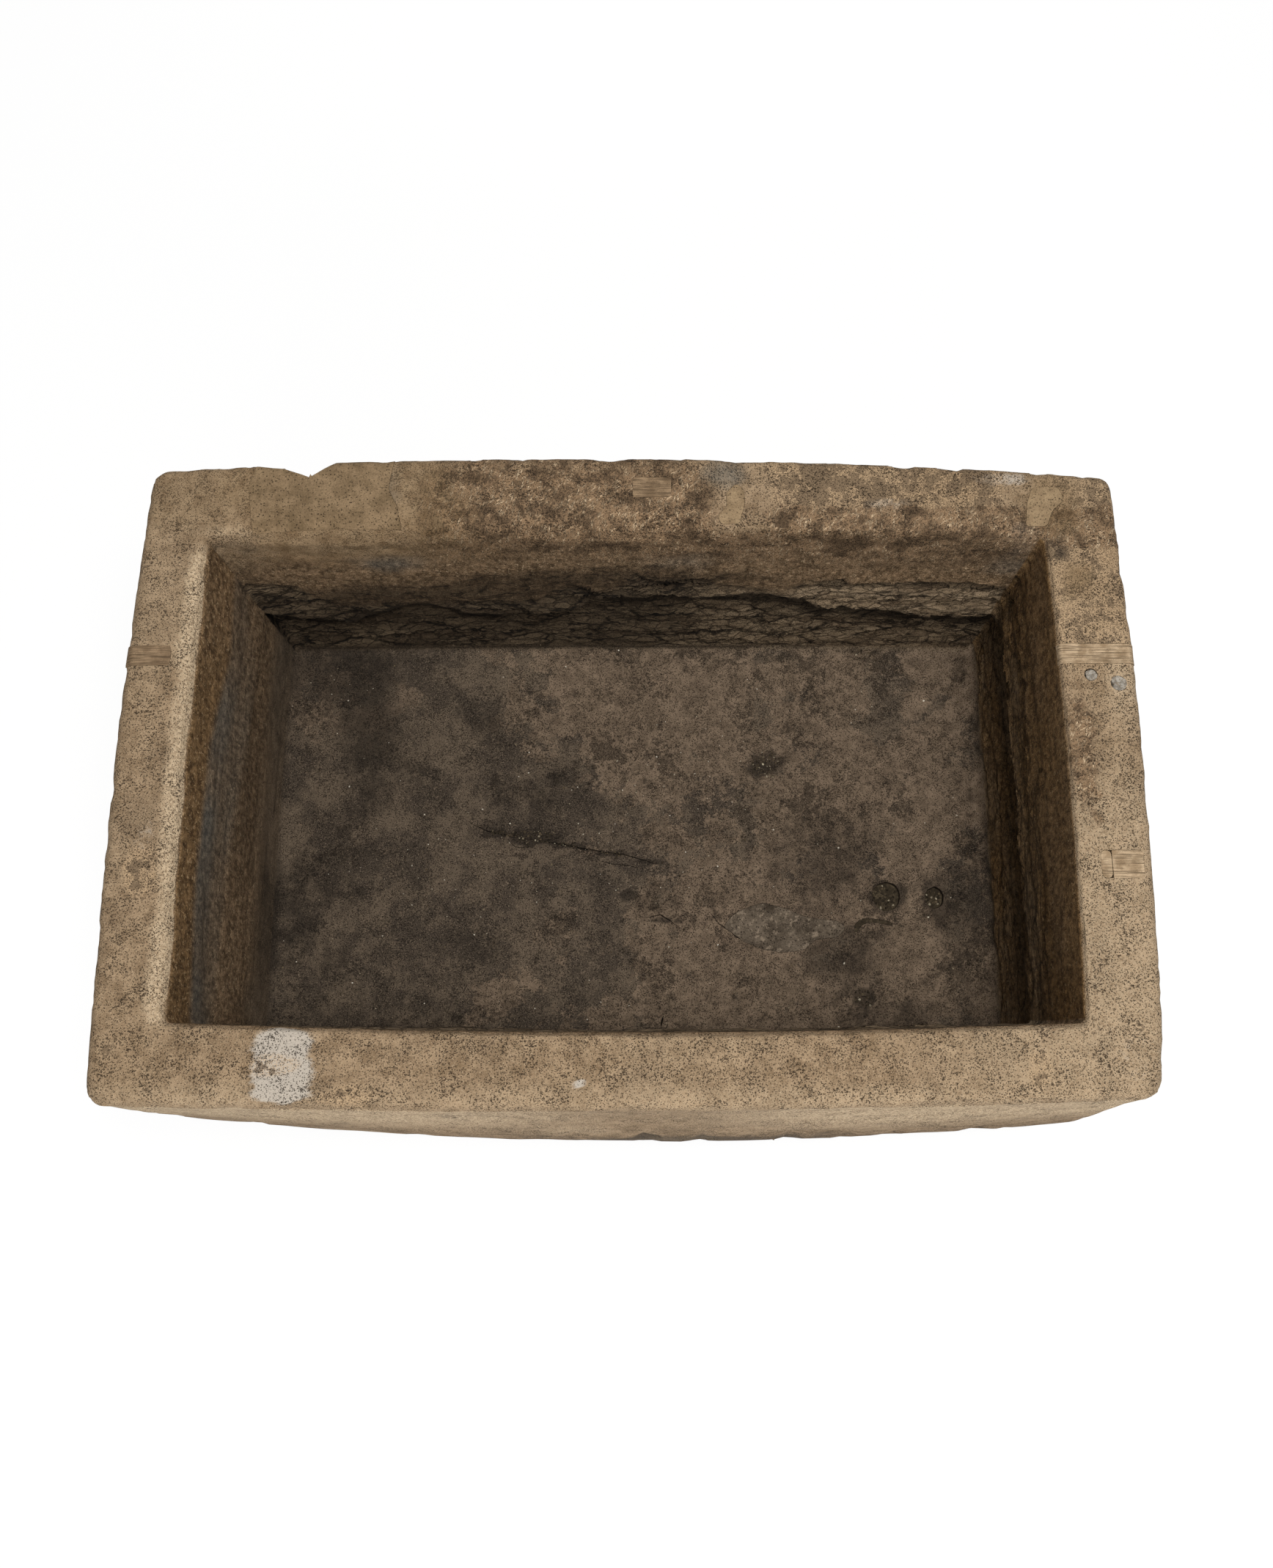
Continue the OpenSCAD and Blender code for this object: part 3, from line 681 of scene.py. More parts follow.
# Outlines of the repairs, in millimetres from where each is put.
NOTCH_PLAN = [(-64, 20), (-60, -25), (96, -25), (108, 4), (104, 34), (92, 58), (100, 130),
              (-52, 130), (-70, 62)]
MIDDLE_PLAN = [(-16, 0), (7, 0), (10, 14), (14, 30), (11, 46), (2, 52), (-9, 38), (-8, 22),
               (-19, 12)]
CORNER_PLAN = [(-22, 3), (4, 4), (9, 22), (25, 36), (19, 54), (-12, 52), (-19, 30)]
PATCH_PLAN = [(-74, 2), (-62, 16), (-48, 25), (-20, 34), (8, 26), (36, 14), (78, 9), (88, 0),
              (78, -12), (46, -16), (30, -30), (2, -33), (-24, -28), (-50, -16)]
SEAM_PLAN = [(97, -2), (101, 8), (112, 13), (130, 12), (150, 8), (150, 2), (131, 6), (114, 7),
             (107, 2), (101, -8)]


def rectangle(width, depth):
    w, h = width / 2, depth / 2
    return [(-w, -h), (w, -h), (w, h), (-w, h)]


# Each bed in the rim and the floor: its plan, where that is put, and how ragged its edges are.
RIM_BEDS = {
    "right_rim_combed_mortar": (rectangle(100, 24), RIGHT_COMB_AT, 0.3 * MM),
    "right_rim_squared_mortar": (rectangle(46, 31), RIGHT_SQUARE_AT, 0.3 * MM),
    "left_rim_combed_mortar": (rectangle(60, 24), LEFT_COMB_AT, 0.5 * MM),
    "back_rim_combed_mortar": (rectangle(45, 26), BACK_COMB_AT, 0.6 * MM),
    "back_rim_notch_mortar": (NOTCH_PLAN, (-0.369, 0.274), 1.4 * MM),
    "back_rim_middle_mortar": (MIDDLE_PLAN, (0.120, 0.289), 1.0 * MM),
    "back_rim_corner_mortar": (CORNER_PLAN, (0.475, 0.283), 1.0 * MM),
}
FLOOR_BEDS = {
    "floor_mortar_patch": (PATCH_PLAN, SEAM_AT, 1.2 * MM),
    "floor_seam_mortar": (SEAM_PLAN, SEAM_AT, 0.5 * MM),
}
# The drain hole and the pit: middle, radius of the hole and of its mortar, and the points,
# raggedness, squash and seed of their plan.
DRAIN = (DRAIN_AT, 0.0182, 0.0178, (48, 0.10, (1.0, 1.05), 1))
PIT = (PIT_AT, 0.0137, 0.0130, (40, 0.16, (0.9, 1.05), 2))
# The cracks of the floor: their points, width and depth in millimetres.
FLOOR_CRACKS = [
    (pairs(-232, 32, -194, 9, -155, 2, -97, -8, -58, -16, -9, -23, 47, -38), 9.0, 6.0),
    (pairs(-60, -15, -40, -32, 8, -40, 30, -36), 5.0, 4.0),
    (pairs(-170, 4, -152, -12, -120, -14), 6.0, 4.0),
    (pairs(44, -235, 42, -243, 40, -249), 7.0, 5.0),
    (pairs(18, -108, 40, -104, 62, -118), 7.0, 4.0),
    (pairs(102, -98, 118, -116, 140, -133, 176, -150), 6.0, 4.0),
    (pairs(240, 60, 262, 52, 290, 57), 4.5, 3.0),
]
# Slabs that break stone off: size, turns about X and Z, middle, raggedness and seed. The first
# three are the chip in the back arris, then come the back left corner and the spalled foot.
BREAKS = {
    "notch_left": ((0.030, 0.040, 0.150), 20, -18, (-0.3770, 0.3772, 0.4080), 1.2 * MM, 70),
    "notch_right": ((0.034, 0.040, 0.150), 20, 34, (-0.3676, 0.3797, 0.4080), 1.2 * MM, 71),
    "notch_shoulder": ((0.074, 0.030, 0.120), 12, -4, (-0.4220, 0.3787, 0.4080), 1.2 * MM, 74),
    "corner": ((0.110, 0.060, 0.300), 5, 45, (-0.5710, 0.3765, 0.3350), 3 * MM, 72),
    "spall": ((0.170, 0.045, 0.040), 35, 0, (0.100, -0.4040, -0.0020), 4 * MM, 73),
}


def breaks():
    """The slabs that break stone off, as cutters."""
    return [rough_break(name, *facts) for name, facts in BREAKS.items()]


def cut_block(block):
    """The block with its breaks, mortar beds, dowel holes, drain hole, pit and cracks cut."""
    cutters = breaks()
    for beds, level, depth in ((RIM_BEDS, HEIGHT, BED_DEPTH), (FLOOR_BEDS, FLOOR, FLOOR_BED_DEPTH)):
        for name, bed in beds.items():
            cutters.append(prism(name, ragged_plan(*bed), level - depth, level + CUTTER_PAST))
    for name, (x, y, radius) in PLUGS.items():
        plan = disc_plan((x, y), radius + JOINT, 32)
        cutters.append(prism(name, plan, HEIGHT - PLUG_DEPTH, HEIGHT + CUTTER_PAST))
    for (at, radius, _, plan), foot in ((DRAIN, -CUTTER_PAST), (PIT, FLOOR - 0.013)):
        cutters.append(prism("hole", disc_plan(at, radius, *plan), foot, FLOOR + CUTTER_PAST))
    for k, (points, width, deep) in enumerate(FLOOR_CRACKS):
        cutters.append(crack("floor_crack", points, width * MM, deep * MM, FLOOR - 2 * MM, k))
    return carved(block, cutters)


# ---- Materials -------------------------------------------------------------------------

def srgb(r, g, b):
    """A colour as a screen shows it, 0 to 255, as the linear colour that Blender works in."""
    return tuple(
        v / 12.92 if v <= 0.04045 else ((v + 0.055) / 1.055) ** 2.4
        for v in (r / 255, g / 255, b / 255))


def scaled(colour, factor):
    """A linear colour made darker or lighter, up to white."""
    return tuple(min(1, factor * v) for v in colour)


class Signal:
    """A value or colour on its way through nodes, so that its maths reads as plain expressions."""

    def __init__(self, work, socket):
        self.work, self.socket = work, socket

    def __add__(self, other):
        return self.work.maths("ADD", self, other)

    def __radd__(self, other):
        return self.work.maths("ADD", other, self)

    def __sub__(self, other):
        return self.work.maths("SUBTRACT", self, other)

    def __rsub__(self, other):
        return self.work.maths("SUBTRACT", other, self)

    def __mul__(self, other):
        return self.work.maths("MULTIPLY", self, other)

    def __rmul__(self, other):
        return self.work.maths("MULTIPLY", other, self)

    def __truediv__(self, other):
        return self.work.maths("DIVIDE", self, other)

    def __rtruediv__(self, other):
        return self.work.maths("DIVIDE", other, self)

    def most(self, other):
        return self.work.maths("MAXIMUM", self, other)

    def between(self, low, high):
        """0 below low, 1 above high, and an even rise between them."""
        settings = {"interpolation_type": "SMOOTHSTEP"}
        return self.work.add("ShaderNodeMapRange", settings, [self, low, high])


class NodeWork:
    """A node tree in the making: of a finish, the sky or a piece."""

    def add(self, kind, settings, inputs, output=0):
        """A node of a kind: its settings first, then the values or links of its sockets."""
        node = self.tree.nodes.new(kind)
        for name, value in settings.items():
            if name == "stops":
                ramp = node.color_ramp
                while len(ramp.elements) < len(value):
                    ramp.elements.new(1.0)
                for element, (position, colour) in zip(ramp.elements, value):
                    element.position, element.color = position, (*colour, 1.0)
            else:
                setattr(node, name, value)
        for key, value in inputs.items() if isinstance(inputs, dict) else enumerate(inputs):
            socket = node.inputs[key]
            if isinstance(value, Signal):
                self.tree.links.new(value.socket, socket)
            elif socket.type == "RGBA" and len(value) == 3:
                socket.default_value = (*value, 1.0)
            else:
                socket.default_value = value
        return Signal(self, node.outputs[output]) if node.outputs else None

    def maths(self, operation, *values):
        return self.add("ShaderNodeMath", {"operation": operation}, values)

    def vector_maths(self, operation, *values):
        return self.add("ShaderNodeVectorMath", {"operation": operation}, values)


class Finish(NodeWork):
    """A material in the making, or the sky where owner is the world."""

    def __init__(self, name, owner=None):
        self.material = owner or bpy.data.materials.new(name)
        self.material.use_nodes = True
        self.tree = self.material.node_tree
        self.tree.nodes.clear()
        self.place = None if owner else self.add("ShaderNodeTexCoord", {}, {}, "Object")

    def stretched(self, sizes, turn=0.0):
        """Object coordinates in cells of the given sizes in millimetres, turned about Z first."""
        place = self.place
        if turn:
            place = self.add(
                "ShaderNodeVectorRotate", {"rotation_type": "Z_AXIS"},
                {"Vector": place, "Angle": math.radians(turn)})
        sizes = sizes if isinstance(sizes, tuple) else (sizes,) * 3
        return self.vector_maths("MULTIPLY", place, tuple(1000.0 / s for s in sizes))

    def noise(self, sizes, detail, harsh, twist=0.0, turn=0.0):
        """Cloudy noise around 0.5, with swells of the given sizes in millimetres."""
        return self.add(
            "ShaderNodeTexNoise", {}, {"Vector": self.stretched(sizes, turn), "Scale": 1.0,
                                       "Detail": detail, "Roughness": harsh, "Distortion": twist})

    def cells(self, place, feature="F1", output="Distance"):
        """Scattered cells: distance from each one's middle or edge, or its own colour. place is a
        size in millimetres or the coordinates."""
        place = place if isinstance(place, Signal) else self.stretched(place)
        inputs = {"Vector": place, "Scale": 1.0}
        return self.add("ShaderNodeTexVoronoi", {"feature": feature}, inputs, output)

    def pores(self, size, sand, low, high, frayed=0.6):
        """1 in round pores of the given size, their edges frayed by sand, and 0 between them."""
        return 1 - (self.cells(size) + (sand - 0.5) * frayed).between(low, high)

    def first(self, colour):
        """The first channel of a colour, as a value."""
        return self.add("ShaderNodeSeparateColor", {}, [colour])

    def mix(self, a, b, factor):
        """Colour a, with colour b over it by factor."""
        return self.add("ShaderNodeMix", {"data_type": "RGBA"}, {0: factor, 6: a, 7: b}, 2)

    def layers(self, colour, *coats):
        """A colour with (colour, factor) coats over it, one after another."""
        for coat, factor in coats:
            colour = self.mix(colour, coat, factor)
        return colour

    def seen(self):
        """1 for rays from the camera, and for those that metal or glass mirror or let through."""
        camera, mirrored, let_through = (
            self.add("ShaderNodeLightPath", {}, {}, f"Is {kind} Ray")
            for kind in ("Camera", "Glossy", "Transmission"))
        return camera.most(mirrored).most(let_through)

    def stored(self, name, output):
        """A value or colour that is stored on a piece's points or grains."""
        return self.add("ShaderNodeAttribute", {"attribute_name": name}, {}, output)

    def painted(self, name):
        """The three masks painted on a piece's points under one name."""
        colour = self.stored(name, "Color")
        return [self.add("ShaderNodeSeparateColor", {}, [colour], k) for k in range(3)]

    def done(self, colour, roughness, height, depth, specular=0.12):
        """Closes the finish with its colour, roughness and a bump as deep as depth millimetres."""
        normal = self.add(
            "ShaderNodeBump", {}, {"Strength": 1.0, "Distance": depth * MM, "Height": height})
        shader = self.add("ShaderNodeBsdfPrincipled", {}, {
            "Base Color": colour, "Roughness": roughness, "Normal": normal,
            "Specular IOR Level": specular})
        self.add("ShaderNodeOutputMaterial", {}, {"Surface": shader})
        return self.material


def trough_stone():
    """Porous tan stone: pored rim, tooled and split walls, dark floor, painted stains, and painted
    shade and highlights.
    """
    f = Finish("trough_stone")
    rim, wall, floor = f.painted("zone")
    ochre, blue, damp_and_shade = f.painted("stain")
    wear_and_highlight, split, crevice_shade = f.painted("surface")
    crust, flecked, lime = f.painted("bloom")
    broad = f.noise(80, 4, 0.6)
    mottle = f.noise(17, 5, 0.68)
    grain = f.noise(3.4, 3, 0.75)
    fine = f.noise(1.6, 2, 0.8)
    clustered = f.noise(26, 4, 0.7)
    pored = f.noise(28, 3, 0.6).between(0.36, 0.62)
    pores = f.pores(4.4, grain, 0.08, 0.28)
    small_pores = f.pores(2.1, fine, 0.12, 0.36)
    cuts = (f.noise((3.0, 2.4, 2.8), 4, 0.8, 0.2) + (pored - 0.5) * 0.12).between(0.62, 0.67)
    pore_cut = (pores * pored).most(small_pores * (0.60 + 0.4 * pored)).most(cuts)

    # The rim and the outer faces.
    lime_cut = (lime + (mottle - 0.5) * 0.7 + (grain - 0.5) * 0.6).between(0.25, 0.70)
    crust_cut = (crust + (mottle - 0.5) * 2.2 + (grain - 0.5) * 0.9).between(0.50, 0.58)
    crusted = f.mix(srgb(66, 53, 40), srgb(104, 87, 68), grain.between(0.36, 0.60))
    strokes = f.noise((2.4, 10, 9), 3, 0.7, turn=14).between(0.54, 0.66)
    cross_strokes = f.noise((9, 2.6, 9), 3, 0.7, turn=-38).between(0.56, 0.68)
    all_strokes = strokes.most(cross_strokes * 0.8) * clustered.between(0.40, 0.60)
    chipped = f.layers(
        srgb(78, 62, 46),
        (srgb(134, 109, 83), (clustered * 0.6 + grain * 0.4).between(0.42, 0.58)),
        (srgb(216, 190, 156), all_strokes * 0.9))
    tan = f.layers(
        srgb(124, 103, 79),
        (srgb(155, 132, 105), mottle.between(0.34, 0.66)),
        (srgb(106, 88, 68), broad.between(0.48, 0.74) * 0.5),
        (srgb(192, 171, 142), fine.between(0.54, 0.70) * 0.5),
        (srgb(82, 66, 49), grain.between(0.53, 0.70) * 0.55),
        # Pale worn edges, and a painted highlight on the upper front face.
        (srgb(200, 178, 148), wear_and_highlight * (0.25 + 0.75 * grain.between(0.38, 0.58))),
        (srgb(182, 173, 161), lime_cut * 0.85),
        (srgb(188, 160, 126), crust.between(0.2, 0.4) * fine.between(0.42, 0.6) * 0.6),
        (crusted, crust_cut * 0.72),
        (chipped, (flecked + (mottle - 0.5) * 1.1).between(0.30, 0.62) * 0.92),
        (srgb(56, 44, 32), pore_cut * (0.9 - 0.4 * ochre)))

    # The walls: tooled band with pale flecks, split stone with dark cleft lines round its scales, a
    # painted shadow line under each leaf and a painted highlight on its edge.
    height_mm = f.add("ShaderNodeSeparateXYZ", {}, [f.place], 2) * 1000.0
    sway = 78 * f.noise((90, 90, 34), 3, 0.6) + 26 * f.noise((15, 15, 11), 4, 0.7)
    leaf = f.maths("FRACT", (height_mm + sway) * (1 / 44))

    def flakes(sizes, swayed):
        """Split scales of stone: the dark line round each, and a shade of its own."""
        sway = f.noise(tuple(1.3 * v for v in sizes), 4, 0.7)
        aside = f.add("ShaderNodeCombineXYZ", {}, [sway * swayed] * 3)
        place = f.vector_maths("ADD", f.stretched(sizes), aside)
        line_round = 1 - f.cells(place, "DISTANCE_TO_EDGE").between(0.0, 0.07)
        return line_round, f.first(f.cells(place, output="Color"))

    scale_line, scale_shade = flakes((74, 74, 30), 1.6)
    chip_line, chip_shade = flakes((22, 22, 9), 1.2)
    broken = f.noise((34, 34, 14), 3, 0.65).between(0.44, 0.56)
    # Painted shadow just under each leaf's lower edge, and a painted highlight on that edge.
    leaf_shadow_line = leaf.between(0.885, 0.955) * (0.25 + 0.75 * broken)
    leaf_edge_highlight = 1 - leaf.between(0.04, 0.28)
    granular = f.noise((8, 8, 11), 5, 0.8)
    flecks = f.noise((4.5, 4.5, 7), 3, 0.8).between(0.56, 0.66)
    band = f.layers(
        srgb(90, 72, 52),
        (srgb(150, 124, 96), granular.between(0.38, 0.62)),
        (srgb(206, 180, 146), flecks * (0.45 + 0.5 * flecked)))
    shades = scale_shade * 0.30 + chip_shade * 0.2 + granular * 0.5
    layered = f.layers(
        srgb(98, 82, 64),
        (srgb(148, 128, 103), shades.between(0.28, 0.74)),
        # Painted highlight on the leaves' lower edges.
        (srgb(170, 150, 124), leaf_edge_highlight * 0.35),
        (srgb(172, 152, 126), flecks * 0.35))
    walls = f.layers(
        band,
        (layered, split),
        # Painted shadow lines under the leaves.
        (srgb(24, 19, 13), leaf_shadow_line * (0.10 + 0.65 * split)),
        (srgb(26, 21, 15), scale_line * broken * (0.08 + 0.72 * split)),
        (srgb(40, 32, 23), chip_line * (0.18 + 0.37 * split)),
        (srgb(44, 35, 26), small_pores * 0.35))

    # The floor: dull brown grey, slate grey to the left, crisp pinkish patches and pale grit.
    # Pinkish patches where the floor is worn, and painted light along its front edge.
    patches = wear_and_highlight * 0.62 + (f.noise(120, 10, 0.72) - 0.5) * 2.6 + (grain - 0.5) * 0.4
    pinkish = f.mix(srgb(99, 84, 69), srgb(134, 115, 96), mottle.between(0.35, 0.65))
    speckled = f.noise(9, 6, 0.82)
    islands = speckled + (f.noise(70, 3, 0.6) - 0.5) * 0.9 + (wear_and_highlight - 0.5) * 0.07
    ground = f.layers(
        srgb(70, 61, 52),
        (srgb(100, 87, 73), f.noise(85, 9, 0.76).between(0.43, 0.57)),
        (pinkish, patches.between(0.42, 0.51) * 0.85),
        (srgb(42, 35, 28), islands.between(0.61, 0.64) * 0.65),
        (srgb(124, 107, 89), speckled.between(0.42, 0.34) * 0.4),
        (srgb(40, 33, 26), small_pores * 0.75),
        (srgb(156, 137, 116), fine.between(0.56, 0.66) * 0.5))

    # Stains, painted shade and painted highlights over all of it.
    ochred = f.mix(
        f.mix(srgb(98, 76, 50), srgb(134, 112, 83), mottle.between(0.3, 0.7)),
        f.mix(srgb(70, 48, 23), srgb(138, 106, 66), granular.between(0.36, 0.62)), wall)
    blued = f.mix(srgb(74, 76, 74), srgb(114, 113, 106), granular.between(0.35, 0.65))
    soaked_and_shaded = (damp_and_shade + (f.noise(30, 9, 0.78) - 0.5) * 1.5).between(0.22, 0.72)
    soaked_and_shaded = soaked_and_shaded * damp_and_shade.between(0.0, 0.25)
    # Painted highlight on flakes that stand out, and dark cleft lines with the painted shadow lines
    # under the leaves.
    painted_flake_highlight = (leaf_edge_highlight * 0.35 + scale_shade * 0.30 + granular * 0.5).between(0.40, 0.80)
    cleft_and_shadow_lines = (scale_line * broken).most(leaf_shadow_line).most(chip_line * 0.3)
    colour = f.layers(
        tan,
        (walls, wall),
        (ground, floor),
        (ochred, ochre * (0.66 + 0.2 * wall)),
        (srgb(190, 160, 120), flecks * ochre * wall * (0.45 + 0.4 * flecked)),
        (blued, blue * 0.75),
        # Damp stains on the floor and outer faces, painted shade of the hollow low on the front
        # face, and darker floor cracks and hollows.
        (srgb(44, 38, 32), soaked_and_shaded * 0.72 * (1 - wall)),
        # Painted shade on the walls: below the ledges, and over the back wall's left and middle.
        (srgb(27, 21, 15), damp_and_shade * 0.86 * wall),
        # Painted highlight on the flakes that stand out of that painted shade.
        (srgb(84, 71, 55), painted_flake_highlight * damp_and_shade * wall * 0.55),
        # Dark cleft lines, and painted shadow lines under the leaves, in that painted shade.
        (srgb(13, 10, 7), cleft_and_shadow_lines * damp_and_shade * wall * 0.92),
        # Painted shade in creases, under the ledges, and in sunk beds, holes and cracks.
        (srgb(20, 15, 10), crevice_shade * 0.88))
    height = 0.5 * mottle + 0.7 * grain + 0.35 * fine - 0.9 * pore_cut + flecked * strokes * 0.7
    split_height = scale_shade * 1.2 + chip_shade * 0.5 - leaf * 2.4 - scale_line * 1.2
    wall_height = granular + split * split_height - chip_line * (0.3 + 0.4 * split)
    return f.done(colour, 0.92 - 0.1 * mottle, height + wall * wall_height, 2.0)


def plain_mortar(name, pale, dark, rubbed=0.0):
    """Struck mortar: sandy and a little pitted, with stone grey rubbed through it in places."""
    f = Finish(name)
    cloud = f.noise(28, 7, 0.74)
    sand = f.noise(1.8, 3, 0.8)
    pits = f.pores(3.6, sand, 0.10, 0.28)
    colour = f.layers(
        dark,
        (pale, cloud.between(0.34, 0.66)),
        (scaled(pale, 1.5), sand.between(0.55, 0.70) * 0.35),
        (scaled(dark, 0.5), sand.between(0.5, 0.34) * 0.45),
        (scaled(dark, 0.3), pits * 0.8 * f.noise(26, 3, 0.6).between(0.42, 0.58)),
        (scaled(dark, 0.5), f.noise(6, 5, 0.8).between(0.60, 0.66) * 0.5),
        (scaled(pale, 2.0), f.noise(9, 5, 0.75).between(0.55, 0.63) * rubbed))
    return f.done(colour, 0.9 - 0.08 * cloud, 0.6 * cloud + 0.6 * sand - pits, 1.1)


def gravel_mortar():
    """Coarse dark mortar between grains of gravel."""
    f = Finish("gravel_mortar")
    cloud = f.noise(9, 4, 0.7)
    shade = f.first(f.cells(3.2, output="Color"))
    colour = f.layers(
        srgb(38, 32, 24), (srgb(84, 73, 57), shade), (srgb(50, 42, 31), cloud.between(0.35, 0.7)))
    return f.done(colour, 0.9 - 0.1 * cloud, cloud + 0.8 * shade, 1.4)


def gravel_grains():
    """Grains of gravel, each in its own shade."""
    f = Finish("gravel_grains")
    speck = f.noise(1.2, 3, 0.7)
    stops = [(0.0, srgb(34, 29, 22)), (0.5, srgb(66, 57, 44)), (0.86, srgb(98, 85, 66)),
             (1.0, srgb(186, 174, 150))]
    colour = f.add("ShaderNodeValToRGB", {"stops": stops}, [f.stored("grain_shade", "Fac")])
    colour = f.mix(colour, srgb(44, 37, 28), speck.between(0.5, 0.75) * 0.5)
    return f.done(colour, 0.75 + 0.15 * speck, speck, 0.3)


def pale_grit():
    """Specks of grit bedded in the floor, most of them pale, some ochre or dark."""
    f = Finish("pale_grit")
    shade = f.stored("grain_shade", "Fac")
    stops = [(0.0, srgb(44, 37, 29)), (0.3, srgb(86, 72, 52)), (0.5, srgb(150, 136, 112)),
             (1.0, srgb(226, 218, 202))]
    colour = f.add("ShaderNodeValToRGB", {"stops": stops}, [shade])
    return f.done(colour, 0.8 - 0.1 * shade, f.noise(1.0, 2, 0.6), 0.2)


def combed_mortar(name, pale, dark):
    """Lime mortar drawn over with a comb."""
    f = Finish(name)
    cloud = f.noise(16, 4, 0.6)
    sand = f.noise(1.4, 3, 0.7)
    drawn = f.noise((26, 0.9, 8), 2, 0.5)
    colour = f.layers(
        pale,
        (dark, cloud.between(0.34, 0.66)),
        (scaled(dark, 0.45), drawn.between(0.47, 0.60) * 0.75),
        (scaled(dark, 0.4), f.pores(3.4, sand, 0.06, 0.2, 0.5) * 0.6))
    return f.done(colour, 0.9 - 0.08 * cloud, 0.5 * sand + 0.7 * drawn, 0.7)


def lead():
    """Old lead: dull pale grey with a white bloom and brighter rubs."""
    f = Finish("lead")
    bloom = f.noise(5, 4, 0.6)
    rub = f.noise(2, 3, 0.7)
    colour = f.layers(
        srgb(102, 96, 87),
        (srgb(154, 147, 136), bloom.between(0.38, 0.62)),
        (srgb(104, 88, 68), rub.between(0.50, 0.60) * 0.75))
    return f.done(colour, 0.6 + 0.2 * bloom, bloom + 0.6 * rub, 0.8, specular=0.4)


# ---- Painting the block ------------------------------------------------------------------

def paint(mesh, name, masks):
    """Writes three masks on a mesh's points under one name."""
    attribute = mesh.attributes.new(name, "FLOAT_COLOR", "POINT")
    colours = np.concatenate([np.clip(np.stack(masks, -1), 0, 1), np.ones((len(masks[0]), 1))], -1)
    attribute.data.foreach_set("color", colours.astype(np.float32).ravel())


def carry(mesh, skin_points, facts):
    """The points of a cut mesh, how far each is sunk below the nearest point of the uncut skin, and
    the facts of that point."""
    tree = KDTree(len(skin_points))
    for i, p in enumerate(skin_points):
        tree.insert(p, i)
    tree.balance()
    nearest = np.array([tree.find(v.co)[1] for v in mesh.vertices])
    points = np.array([v.co for v in mesh.vertices], float)
    sunk = skin_points[nearest, 2] - points[:, 2]
    return points, sunk, {key: values[nearest] for key, values in facts.items()}


